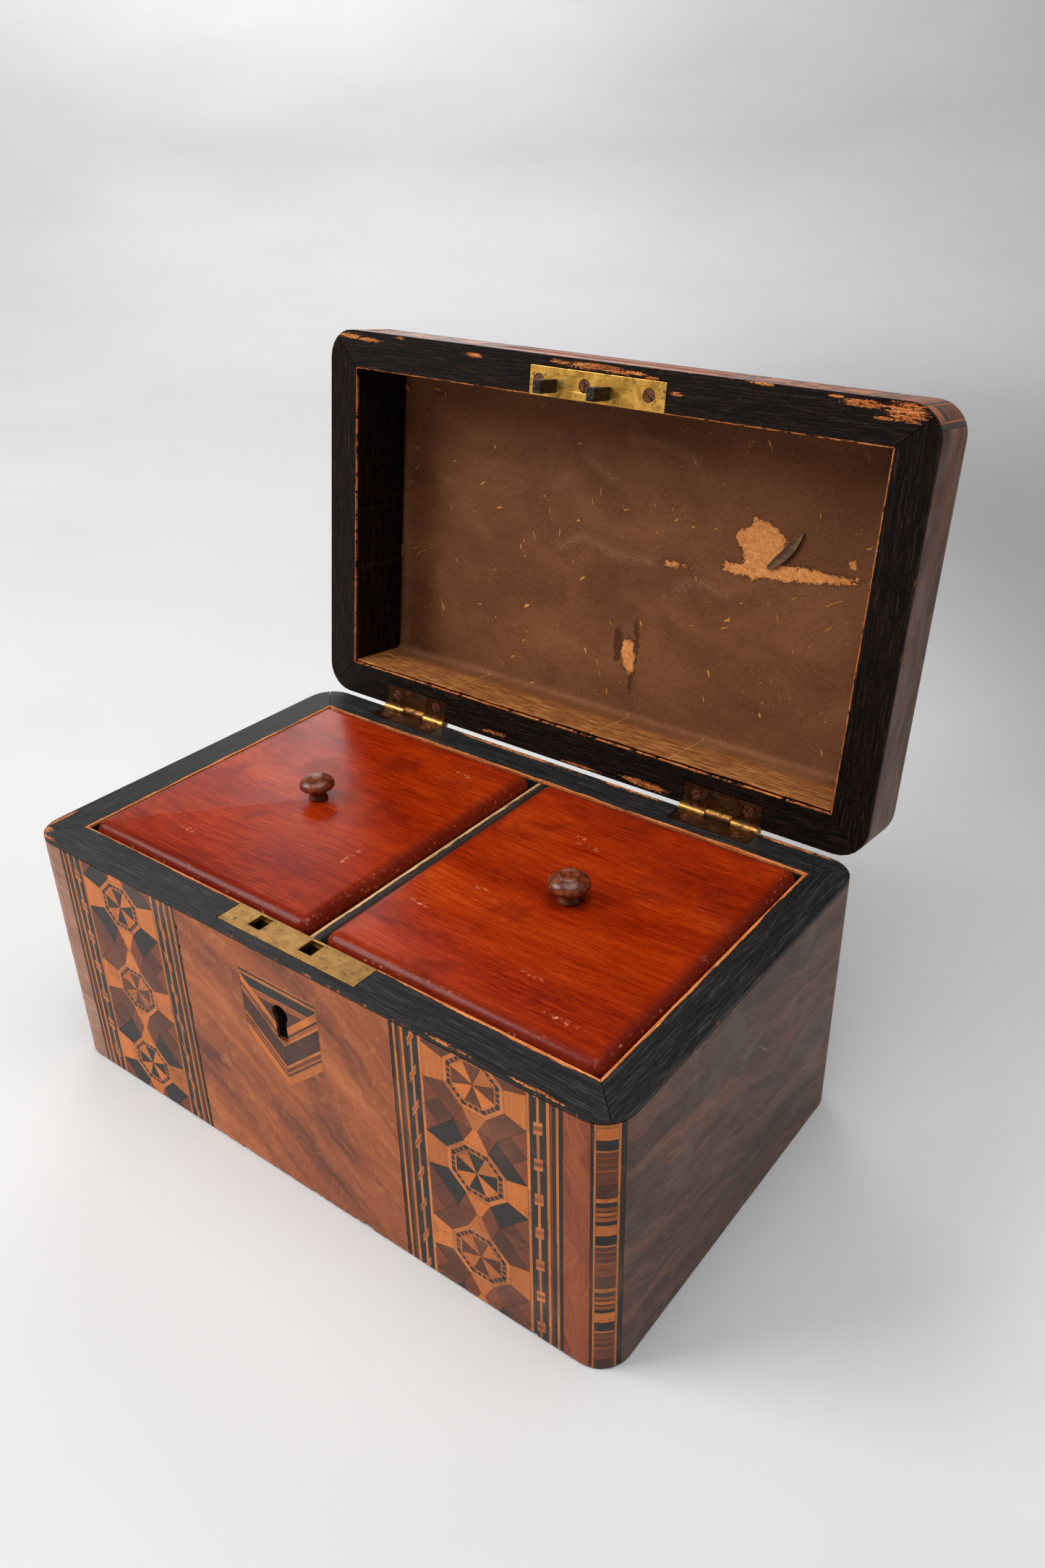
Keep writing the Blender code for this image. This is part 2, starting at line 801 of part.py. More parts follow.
def make_lid_walls(lid_axis):
    outer = case_block(RIM_Z, LID_TOP, rounded_top=True)
    core_top = LID_TOP - CORE_INSET
    core = cutter(
        "lid_core", case_block(RIM_Z - PAST, core_top, CORE_INSET, True), parent=lid_axis
    )
    pocket = cutter(
        "lid_veneer_pocket",
        block_mesh(
            (-HALF_W - PAST, -HALF_D - PAST, RIM_Z + RIM_LIP),
            (HALF_W + PAST, HALF_D + PAST, LID_TOP + PAST),
        ),
        parent=lid_axis,
    )
    boolean(pocket, core)
    cavity = cutter(
        "lid_cavity",
        block_mesh((-INNER_W, -INNER_D, RIM_Z - PAST), (INNER_W, INNER_D, LID_TOP + PAST)),
        parent=lid_axis,
    )
    reach = (HALF_W + PAST, HALF_D + PAST)
    above = cutter(
        "lid_wall_tops",
        block_mesh(
            (-reach[0], -reach[1], BOARD_UNDERSIDE - GAP), (reach[0], reach[1], LID_TOP + PAST)
        ),
        parent=lid_axis,
    )
    walls = {}
    for side in ("front", "back", "left", "right"):
        wall = add(PARTS, f"lid_wall_{side}", outer, EBONISED, parent=lid_axis)
        boolean(wall, above)
        boolean(wall, cavity)
        boolean(wall, pocket)
        wedge = region(f"lid_mitre_{side}", mitre_points(side), lid_axis)
        boolean(wall, wedge, "INTERSECT")
        walls[side] = wall
    board = add(
        PARTS,
        "lid_top_board",
        case_block(RIM_Z, core_top, CORE_INSET, True),
        PINE,
        parent=lid_axis,
    )
    below = block_mesh((-reach[0], -reach[1], RIM_Z - PAST), (*reach, BOARD_UNDERSIDE))
    boolean(board, cutter("lid_board_bottom", below, parent=lid_axis))
    smooth(board)
    return walls


def make_lid_veneers(lid_axis):
    """A skin over the rounded lid: the front with its corners, both ends, the back, the top."""
    low = RIM_Z + RIM_LIP + GAP
    skin = case_block(RIM_Z, LID_TOP, rounded_top=True)
    behind = cutter(
        "lid_skin_back",
        case_block(RIM_Z - PAST, LID_TOP - VENEER, VENEER, True),
        parent=lid_axis,
    )
    reach = (HALF_W + PAST, HALF_D + PAST)
    rim = cutter(
        "lid_skin_rim",
        block_mesh((-reach[0], -reach[1], RIM_Z - PAST), (*reach, low)),
        parent=lid_axis,
    )
    flat_x, flat_y = HALF_W - CORNER - SEAM, HALF_D - CORNER - SEAM
    regions = {
        "lid_veneer_front": (lid_front_points(), WALNUT),
        "lid_veneer_left": (side_region_points("left"), WALNUT_DARK),
        "lid_veneer_right": (side_region_points("right"), WALNUT_DARK),
        "lid_veneer_back": (back_region_points(), WALNUT_DARK),
        "lid_veneer_top": (
            [(-flat_x, -flat_y), (flat_x, -flat_y), (flat_x, flat_y), (-flat_x, flat_y)],
            WALNUT,
        ),
    }
    made = {}
    for name, (points, material) in regions.items():
        made[name] = add(PARTS, name, skin.copy(), material, parent=lid_axis)
        boolean(made[name], behind)
        boolean(made[name], rim)
        boolean(made[name], region(f"{name}_region", points, lid_axis), "INTERSECT")
        smooth(made[name])
    return made


def make_lid_lining(lid_axis):
    """Paper over the ceiling, turned down over the hinge side."""
    front, back = GAP - INNER_D, INNER_D - GAP
    top = BOARD_UNDERSIDE - GAP
    foot = RIM_Z + 0.0008
    bend = 0.0026
    outer = arc((back - bend, top - bend), bend, 0, 90, 4)
    inner = arc((back - bend, top - bend), bend - PAPER, 90, 0, 4)
    loop = [(back - PAPER, foot), (back, foot), *outer, (front, top), (front, top - PAPER), *inner]
    mesh = outline_mesh([loop], 2 * (INNER_W - GAP))
    smooth(add(PARTS, "lid_lining", mesh, LINING, end_to_end(GAP - INNER_W), lid_axis))


def make_link_plate(wall, lid_axis):
    """A brass plate in the lid's front rim, carrying two notched steel hooks."""
    front = -INNER_D - PLATE_DEPTH
    right = LOCK_X + LOCK_PLATE_LENGTH / 2
    low, high = RIM_Z, RIM_Z + PLATE_THICKNESS
    plate = add(
        PARTS,
        "link_plate",
        block_mesh((LINK_PLATE_LEFT, front, low), (right, -INNER_D, high)),
        BRASS,
        parent=lid_axis,
    )
    seat = block_mesh(
        (LINK_PLATE_LEFT - GAP, front - GAP, low - PAST), (right + GAP, PAST - INNER_D, high + GAP)
    )
    boolean(wall, cutter("link_plate_seat", seat, parent=lid_axis))
    spots = [(x, LINK_SCREW_Y, RIM_Z, turn) for x, turn in zip(LINK_SCREW_X, (25, 95, -40))]
    fit_screws("link_plate_screw", spots, False, RUSTY_STEEL, lid_axis, [plate, wall])
    half = HOOK_WIDTH / 2
    notch_low, notch_high = RIM_Z - 0.0074, RIM_Z - 0.0048
    tip = RIM_Z - HOOK_LENGTH
    for side, x in HOOK_X.items():
        loop = [
            (x - half, low - GAP / 2),
            (x - half, notch_high),
            (x - half + HOOK_NOTCH, notch_high),
            (x - half + HOOK_NOTCH, notch_low),
            (x - half, notch_low),
            (x - half + 0.0006, tip),
            (x + half, tip),
            (x + half, low - GAP / 2),
        ]
        mesh = outline_mesh([loop], HOOK_DEPTH)
        place = side_to_side(HOOK_Y + HOOK_DEPTH / 2)
        add(PARTS, f"link_hook_{side}", mesh, STEEL, place, lid_axis)


# ---------------------------------------------------------------- inner lids


def knob_profile(scale):
    """A low mushroom knob with a collar, on a dowel, in metres above the inner lid's face."""
    cap_radius, cap_z, top = 6.4, 5.7, 9.2
    dome = [
        (
            cap_radius * math.cos(math.radians(a)),
            cap_z + (top - cap_z) * math.sin(math.radians(a)) ** 0.9,
        )
        for a in (90, 75, 60, 46, 32, 16, 0)
    ]
    under = [(5.9, 4.8), (4.6, 4.1), (3.2, 3.7), (2.8, 2.9), (2.8, 1.8), (3.3, 1.1), (3.5, 0.4)]
    points = [(radius * scale / 1000, z * scale / 1000) for radius, z in dome + under]
    points[0] = (0, points[0][1])
    return points + [
        (3.4 * scale / 1000, GAP / 2),
        (DOWEL_RADIUS, GAP / 2),
        (DOWEL_RADIUS, -DOWEL_LENGTH),
        (0, -DOWEL_LENGTH),
    ]


def make_inner_lid(side):
    """A loose mahogany lid with rounded edges, lifted straight up by its knob."""
    left, right = compartment(side)
    near, wide = INNER_LID_PLAY, INNER_LID_WIDE_PLAY
    low = (left + (wide if side == "left" else near), near - INNER_D, INNER_LID_UNDERSIDE)
    high = (right - near, INNER_D - wide, INNER_LID_TOP)
    middle = ((low[0] + high[0]) / 2, (low[1] + high[1]) / 2)
    lift = joint_empty(PARTS, f"inner_lid_{side}_lift", (*middle, INNER_LID_UNDERSIDE))
    mesh = block_mesh(low, high, INNER_LID_ROUND, 4, level_at(INNER_LID_TOP))
    lid = add(PARTS, f"inner_lid_{side}", mesh, MAHOGANY, parent=lift)
    smooth(lid)
    hole = turned_mesh(
        [
            (0, PAST),
            (DOWEL_RADIUS + GAP / 2, PAST),
            (DOWEL_RADIUS + GAP / 2, -DOWEL_LENGTH - GAP),
            (0, -DOWEL_LENGTH - GAP),
        ],
        20,
    )
    place = Matrix.Translation((*middle, INNER_LID_TOP))
    boolean(lid, cutter(f"dowel_hole_{side}", hole, place, lift))
    profile = knob_profile(KNOB_SIZES[side])
    knob = add(PARTS, f"knob_{side}", turned_mesh(profile, 28), ROSEWOOD, place, lift)
    smooth(knob, 50)


# ---------------------------------------------------------------- the whole caddy


clear_scene()
PARTS = new_collection("tea_caddy")
CUTTERS = new_collection("tea_caddy_cutters")

EBONISED = principled("ebonised_wood", (0.016, 0.014, 0.013), 0.45)
WALNUT = principled("figured_walnut", (0.33, 0.12, 0.045), 0.42)
WALNUT_DARK = principled("dark_walnut", (0.11, 0.055, 0.035), 0.45)
SATINWOOD = principled("satinwood", (0.56, 0.22, 0.06), 0.40)
ROSEWOOD = principled("rosewood", (0.09, 0.03, 0.018), 0.38)
MAHOGANY = principled("mahogany", (0.30, 0.045, 0.012), 0.35)
PINE = principled("pine", (0.42, 0.26, 0.12), 0.65)
FOIL = principled("tin_foil", (0.55, 0.56, 0.58), 0.40, 0.9)
LINING = principled("lining_paper", (0.14, 0.07, 0.035), 0.75)
BRASS = principled("brass", (0.52, 0.36, 0.10), 0.35, 1.0)
STEEL = principled("dark_steel", (0.10, 0.095, 0.09), 0.40, 1.0)
RUSTY_STEEL = principled("rusty_steel", (0.24, 0.11, 0.07), 0.60, 0.7)

SCREW = screw_mesh()
SCREW_HOLE = screw_hole_mesh()

base_walls = make_base_walls()
make_bottom_board()
make_divider()
base_veneers = make_base_veneers()
keyhole_cutter = make_shield(base_veneers["veneer_front"], base_walls["front"])
make_lock(base_walls["front"], keyhole_cutter)
for part_side in ("left", "right"):
    make_liner(part_side)
    make_inner_lid(part_side)

hinge_axis = joint_empty(PARTS, "lid_hinge", (0, AXIS_Y, AXIS_Z))
lid_walls = make_lid_walls(hinge_axis)
lid_veneers = make_lid_veneers(hinge_axis)
make_lid_lining(hinge_axis)
make_link_plate(lid_walls["front"], hinge_axis)
make_hinges(
    [base_walls["back"], base_veneers["veneer_back"]],
    [lid_walls["back"], lid_veneers["lid_veneer_back"]],
    hinge_axis,
)
hinge_axis.rotation_euler.x = -OPEN_ANGLE
bpy.context.view_layer.update()
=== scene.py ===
"""Looks for the inlaid tea caddy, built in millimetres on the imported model's frame."""

import json
import math
import random

import bpy
import numpy as np
from mathutils import Matrix, Vector, noise


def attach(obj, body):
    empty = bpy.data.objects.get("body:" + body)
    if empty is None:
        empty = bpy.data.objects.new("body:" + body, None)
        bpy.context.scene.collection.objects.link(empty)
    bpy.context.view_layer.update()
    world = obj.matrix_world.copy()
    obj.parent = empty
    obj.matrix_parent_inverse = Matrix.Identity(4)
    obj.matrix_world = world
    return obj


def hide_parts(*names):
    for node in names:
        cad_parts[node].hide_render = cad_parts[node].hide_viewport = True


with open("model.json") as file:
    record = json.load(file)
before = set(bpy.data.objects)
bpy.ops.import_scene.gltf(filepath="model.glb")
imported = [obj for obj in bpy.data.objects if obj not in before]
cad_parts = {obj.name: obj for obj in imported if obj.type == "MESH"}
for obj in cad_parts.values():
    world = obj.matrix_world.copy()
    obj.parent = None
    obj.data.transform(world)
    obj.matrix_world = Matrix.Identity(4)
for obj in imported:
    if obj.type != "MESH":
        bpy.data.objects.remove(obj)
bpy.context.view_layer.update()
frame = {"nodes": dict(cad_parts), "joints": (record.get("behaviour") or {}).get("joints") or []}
NODES = frame["nodes"]
RNG = random.Random(11)

LID_JOINT = next(joint for joint in frame["joints"] if joint["name"] == "lid_hinge")
PIVOT = Vector(LID_JOINT["pos_m"])
OPEN_ANGLE = math.radians(-LID_JOINT["range_deg"][0])
OPENED = (
    Matrix.Translation(PIVOT) @ Matrix.Rotation(-OPEN_ANGLE, 4, "X") @ Matrix.Translation(-PIVOT)
)
SHUT = OPENED.inverted()


def box(node, on_lid=False):
    """Lowest and highest corner of a CAD node in millimetres, with the lid shut if on_lid."""
    place = SHUT if on_lid else Matrix.Identity(4)
    points = np.array([place @ vertex.co for vertex in NODES[node].data.vertices]) * 1000
    return points.min(0).tolist(), points.max(0).tolist()


HALF_W = box("base_wall_right")[1][0]
HALF_D = -box("base_wall_front")[0][1]
INNER_W = box("base_wall_right")[0][0]
INNER_D = -box("base_wall_front")[1][1]
RIM = box("base_wall_front")[1][2]
LID_RIM = box("lid_wall_front", True)[0][2]
LID_TOP = box("lid_veneer_top", True)[1][2]
BASE_VENEER_TOP = RIM - box("veneer_front")[1][2]
BASE_VENEER_FOOT = RIM - box("veneer_front")[0][2]
LID_VENEER_FOOT = box("lid_veneer_front", True)[0][2] - LID_RIM
CORNER = 10.0
FLAT_W = HALF_W - CORNER
FLAT_D = HALF_D - CORNER
ARC = CORNER * math.pi / 2
AROUND = 4 * (FLAT_W + FLAT_D + ARC)
LID_STRAIGHT = LID_TOP - CORNER - LID_RIM
LID_OVER = LID_STRAIGHT + ARC
BAND_IN = box("marquetry_band_right")[0][0]
BAND_OUT = box("marquetry_band_right")[1][0]
BANDING_IN = FLAT_W + CORNER * math.radians(18.0)
BANDING_OUT = FLAT_W + CORNER * math.radians(68.5)
SHIELD_LOW, SHIELD_HIGH = box("shield_inlay")
SHIELD_X = (SHIELD_LOW[0] + SHIELD_HIGH[0]) / 2
SHOULDER = RIM - 55.0
TURN_STEPS = 12
SKIN_EASE = 0.32
MM = 0.001
SHARP = math.radians(50)


# ---------------------------------------------------------------- surfaces of the case


def ring(t, inset=0.0):
    """Point and outward normal, t mm round the case from the middle of its front towards +X."""
    t = t % AROUND
    corners = ((0, -FLAT_D),)
    corners += tuple((sx * FLAT_W, sy * FLAT_D) for sx, sy in ((1, -1), (1, 1), (-1, 1), (-1, -1)))
    lengths = (FLAT_W, 2 * FLAT_D, 2 * FLAT_W, 2 * FLAT_D, FLAT_W)
    reach = CORNER - inset
    for k, length in enumerate(lengths):
        angle = math.radians(90 * k - 90)
        normal = (math.cos(angle), math.sin(angle))
        if t <= length or k == 4:
            start = corners[k]
            x = start[0] - normal[1] * t + normal[0] * reach
            y = start[1] + normal[0] * t + normal[1] * reach
            return (x, y), normal
        t -= length
        if t <= ARC:
            angle += t / CORNER
            normal = (math.cos(angle), math.sin(angle))
            centre = corners[k + 1]
            return (centre[0] + normal[0] * reach, centre[1] + normal[1] * reach), normal
        t -= ARC


def base_skin(t, v, depth=0.0):
    """A point of the base's outside, v mm below the rim and sunk by depth."""
    (x, y), (nx, ny) = ring(t)
    return (x - nx * depth, y - ny * depth, RIM - v)


def lid_skin(t, v, depth=0.0):
    """A point of the shut lid's outside, v mm up from its rim and on over the rounded edge."""
    turn = min(max(v - LID_STRAIGHT, 0) / CORNER, math.pi / 2)
    inset = CORNER * (1 - math.cos(turn)) + max(v - LID_OVER, 0)
    z = LID_RIM + min(v, LID_STRAIGHT) + CORNER * math.sin(turn)
    (x, y), (nx, ny) = ring(t, inset)
    sunk = depth + SKIN_EASE * math.sin(2 * turn)
    across, down = sunk * math.cos(turn), sunk * math.sin(turn)
    return (x - nx * across, y - ny * across, z - down)


def corner_lines():
    """Where tiles are cut so that they follow the upright front corners."""
    turns = [FLAT_W + ARC * k / TURN_STEPS for k in range(TURN_STEPS + 1)]
    return [(0, t) for t in turns] + [(0, -t) for t in turns]


def over_edge():
    """Heights of the lid's skin at which its rounded top edge is cut."""
    return [LID_STRAIGHT + ARC * k / TURN_STEPS for k in range(TURN_STEPS + 1)]


def lid_lines():
    """Where the lid's tiles are cut: at its upright corners and over its rounded edge."""
    return corner_lines() + [(1, v) for v in over_edge()]


# ---------------------------------------------------------------- flat polygons

SMALLEST_TILE = 0.004
CHIP_STEP = 0.5


def around(points):
    """Each point of a closed outline with the next one."""
    return zip(points, points[1:] + points[:1])


def area(poly):
    """Area of a polygon, above nought if its points run anticlockwise."""
    return sum(ax * by - bx * ay for (ax, ay), (bx, by) in around(poly)) / 2


def turned_right(poly):
    """The polygon with its points anticlockwise."""
    return poly if area(poly) > 0 else poly[::-1]


def rectangle(u0, u1, v0, v1):
    return [(u0, v0), (u1, v0), (u1, v1), (u0, v1)]


def cut(poly, point, normal):
    """The part of a convex polygon behind the line through point."""
    kept = []
    for (ax, ay), (bx, by) in around(poly):
        a = (ax - point[0]) * normal[0] + (ay - point[1]) * normal[1]
        b = (bx - point[0]) * normal[0] + (by - point[1]) * normal[1]
        if a <= 0:
            kept.append((ax, ay))
        if a * b < 0:
            s = a / (a - b)
            kept.append((ax + s * (bx - ax), ay + s * (by - ay)))
    return kept if len(kept) > 2 and abs(area(kept)) > SMALLEST_TILE else []


def sides(poly):
    """Each side's start, end and outward normal."""
    for (ax, ay), (bx, by) in around(poly):
        long = math.hypot(bx - ax, by - ay)
        if long > 1e-6:
            yield (ax, ay), (bx, by), ((by - ay) / long, (ax - bx) / long)


def shrunk(poly, gap):
    """A convex polygon with each side moved in by gap."""
    kept = poly
    for a, _, (nx, ny) in sides(poly):
        if kept:
            kept = cut(kept, (a[0] - nx * gap, a[1] - ny * gap), (nx, ny))
    return kept


def without(poly, hole):
    """Convex pieces of a convex polygon outside a convex hole."""
    pieces = []
    rest = poly
    for a, _, (nx, ny) in sides(hole):
        if not rest:
            break
        pieces.append(cut(rest, a, (-nx, -ny)))
        rest = cut(rest, a, (nx, ny))
    return [piece for piece in pieces if piece] if rest else [poly]


def wander(a, b, size):
    """Points from a to b, without b, pushed about across the line like a chipped edge."""
    long = math.hypot(b[0] - a[0], b[1] - a[1])
    count = max(2, int(long / CHIP_STEP))
    nx, ny = (b[1] - a[1]) / long, (a[0] - b[0]) / long
    points = [a]
    for k in range(1, count):
        s = k / count
        place = Vector((a[0] + s * (b[0] - a[0]), a[1] + s * (b[1] - a[1]), 3.7))
        push = noise.noise(place * 0.45) + 0.5 * RNG.uniform(-1, 1)
        if noise.noise(place * 0.13 + Vector((9, 2, 5))) > 0.25:
            push *= 2.2  # here and there the chips are deeper
        push = -abs(push) * size
        points.append((place.x + nx * push, place.y + ny * push))
    return points


# ---------------------------------------------------------------- meshes and inlaid tiles


def mesh_of(name, points, faces, smooth=None):
    """A mesh from points in millimetres, smooth all over unless told face by face."""
    mesh = bpy.data.meshes.new(name)
    mesh.from_pydata([tuple(c * MM for c in point) for point in points], [], faces)
    mesh.polygons.foreach_set("use_smooth", smooth or [True] * len(faces))
    return mesh


def grid_faces(rows, count, closed=True, first=0):
    """Quads between rows of count points each, where a closed row's last point joins its first."""
    faces = []
    for r in range(rows - 1):
        for k in range(count if closed else count - 1):
            a, b = first + r * count + k, first + r * count + (k + 1) % count
            faces.append([a, a + count, b + count, b])
    return faces


def linear(colour):
    """A colour of 0 to 255 in linear light."""
    return [
        (c / 255 / 12.92) if c <= 10 else ((c / 255 + 0.055) / 1.055) ** 2.4 for c in colour
    ]


# colour, spread of tone from tile to tile, strength of the grain
WOODS = {
    "light": ((194, 112, 52), 0.22, 0.55),
    "orange": ((200, 110, 42), 0.20, 0.50),
    "amber": ((158, 82, 36), 0.18, 0.60),
    "brown": ((98, 50, 26), 0.26, 0.95),
    "red": ((118, 56, 28), 0.24, 0.90),
    "rosewood": ((74, 36, 22), 0.24, 1.00),
    "black": ((36, 33, 31), 0.20, 0.45),
    "burnt": ((26, 22, 20), 0.25, 0.80),
    "bed": ((22, 12, 8), 0.05, 0.30),
}


class Sheet:
    """A mesh under construction, with a tint and a grain direction on every point."""

    def __init__(self, skin, lines=()):
        self.skin = skin
        self.lines = lines
        self.points = []
        self.faces = []
        self.tints = []
        self.grains = []
        self.smooth = []

    def point(self, t, v, depth, tint, grain):
        self.points.append(self.skin(t, v, depth))
        self.tints.append(tint)
        self.grains.append(grain)
        return len(self.points) - 1

    def face(self, indices, out, smooth):
        """Adds a face that looks along out."""
        if len(indices) < 3:
            return
        corners = [Vector(self.points[i]) for i in indices]
        normal = sum(
            ((a - corners[0]).cross(b - corners[0]) for a, b in zip(corners[1:], corners[2:])),
            Vector(),
        )
        if normal.length < 1e-9:
            return
        self.faces.append(indices if normal.dot(out) > 0 else indices[::-1])
        self.smooth.append(smooth)

    def tile(self, poly, wood, angle=None, gap=None, depth=None, skirt=0.55, convex=True):
        """Lays one tile. Its grain runs along its first side unless an angle is given."""
        colour, spread, figure = WOODS[wood]
        if angle is None:
            (ax, ay), (bx, by) = poly[0], poly[1]
            angle = math.atan2(by - ay, bx - ax)
        poly = turned_right(poly)
        if gap is None:
            gap = RNG.uniform(0.015, 0.06)
        if convex:
            poly = shrunk(poly, gap)
        if not poly:
            return
        tone = 1 + RNG.uniform(-spread, spread)
        warmth = 1 + RNG.uniform(-0.04, 0.04)
        r, g, b = linear(colour)
        tint = (r * tone * warmth, g * tone, b * tone / warmth, figure)
        edge = (tint[0] * 0.32, tint[1] * 0.28, tint[2] * 0.25, figure)
        seed = RNG.random() * 50
        c, s = math.cos(angle), math.sin(angle)
        mid_t = sum(p[0] for p in poly) / len(poly)
        mid_v = sum(p[1] for p in poly) / len(poly)
        base = RNG.uniform(0.03, 0.075) if depth is None else depth
        wide = max(math.hypot(t - mid_t, v - mid_v) for t, v in poly)
        lean = min(0.006, 0.03 / wide)
        tilt = (RNG.uniform(-lean, lean), RNG.uniform(-lean, lean))

        def sunk(t, v):
            return max(0.0, base + tilt[0] * (t - mid_t) + tilt[1] * (v - mid_v))

        def grain(t, v):
            return (t * c + v * s + seed, v * c - t * s + 1.7 * seed, seed)

        out = Vector(self.skin(mid_t, mid_v, 0)) - Vector(self.skin(mid_t, mid_v, 1))
        pieces = [poly]
        crossing = []
        for axis, at in self.lines:
            values = [p[axis] for p in poly]
            if min(values) < at < max(values):
                crossing.append((axis, at))
                normal = (1, 0) if axis == 0 else (0, 1)
                back = (-normal[0], -normal[1])
                spot = (at, 0) if axis == 0 else (0, at)
                halves = [(cut(p, spot, normal), cut(p, spot, back)) for p in pieces]
                pieces = [part for pair in halves for part in pair if part]
        found = {}
        for piece in pieces:
            indices = []
            for t, v in piece:
                key = (round(t, 4), round(v, 4))
                if key not in found:
                    found[key] = self.point(t, v, sunk(t, v), tint, grain(t, v))
                if found[key] not in indices:
                    indices.append(found[key])
            self.face(indices, out, bool(crossing))
        for (ax, ay), (bx, by), (nx, ny) in sides(poly):
            stops = [0.0, 1.0]
            for axis, at in crossing:
                start, end = (ax, bx) if axis == 0 else (ay, by)
                if min(start, end) < at < max(start, end):
                    stops.append((at - start) / (end - start))
            stops.sort()
            for s0, s1 in zip(stops, stops[1:]):
                spots = [(ax + s * (bx - ax), ay + s * (by - ay)) for s in (s0, s1)]
                quad = [self.point(t, v, sunk(t, v), edge, grain(t, v)) for t, v in spots]
                quad += [
                    self.point(t, v, sunk(t, v) + skirt, edge, grain(t, v)) for t, v in spots[::-1]
                ]
                here = Vector(self.skin(*spots[0], 0))
                beyond = Vector(self.skin(spots[0][0] + nx * 0.1, spots[0][1] + ny * 0.1, 0))
                self.face(quad, beyond - here, False)

    def bed(self, t0, t1, v0, v1, depth=0.5):
        """The dark glue bed under a group of tiles."""
        self.tile(rectangle(t0, t1, v0, v1), "bed", gap=0.0, depth=depth, skirt=0.3)

    def lay(self, tiles, v0, v1, foot=None, hole=()):
        """Lays tiles cut to the rows from v0 to v1, each chipped a little at the foot."""
        for poly, wood, angle, gap in tiles:
            start = angle
            if start is None:
                start = math.atan2(poly[1][1] - poly[0][1], poly[1][0] - poly[0][0])
            poly = turned_right(poly)
            low = v1 if foot is None else v1 - foot(sum(p[0] for p in poly) / len(poly))
            poly = cut(poly, (0, v0), (0, -1))
            poly = cut(poly, (0, low), (0, 1)) if poly else poly
            pieces = [poly] if poly else []
            for shape in hole:
                pieces = [part for piece in pieces for part in without(piece, shape)]
            for piece in pieces:
                self.tile(piece, wood, start, gap)

    def build(self, name, material, body, replaced=(), on_lid=False):
        """Makes the piece that the tiles have grown into."""
        mesh = mesh_of(name, self.points, self.faces, self.smooth)
        tint = mesh.attributes.new("tint", "FLOAT_COLOR", "POINT")
        tint.data.foreach_set("color", np.array(self.tints, np.float32).ravel())
        grain = mesh.attributes.new("grain", "FLOAT_VECTOR", "POINT")
        grain.data.foreach_set("vector", np.array(self.grains, np.float32).ravel())
        return settle(name, mesh, material, body, replaced, on_lid)


def settle(name, mesh, material, body, replaced=(), on_lid=False):
    """Makes the piece, opens it with the lid if need be, and puts it on its body."""
    if on_lid:
        mesh.transform(OPENED)
    mesh.update()
    piece = bpy.data.objects.new(name, mesh)
    bpy.context.scene.collection.objects.link(piece)
    mesh.materials.append(material)
    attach(piece, body)
    if replaced:
        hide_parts(*replaced)
    return piece


def foot_chips(t):
    """How much of the veneer's foot has broken away at t."""
    value = noise.noise(Vector((t * 0.21, 4.1, 0))) + 0.6 * noise.noise(Vector((t * 0.9, 1.3, 0)))
    return max(0.0, value - 0.25) * 1.6


# ---------------------------------------------------------------- materials


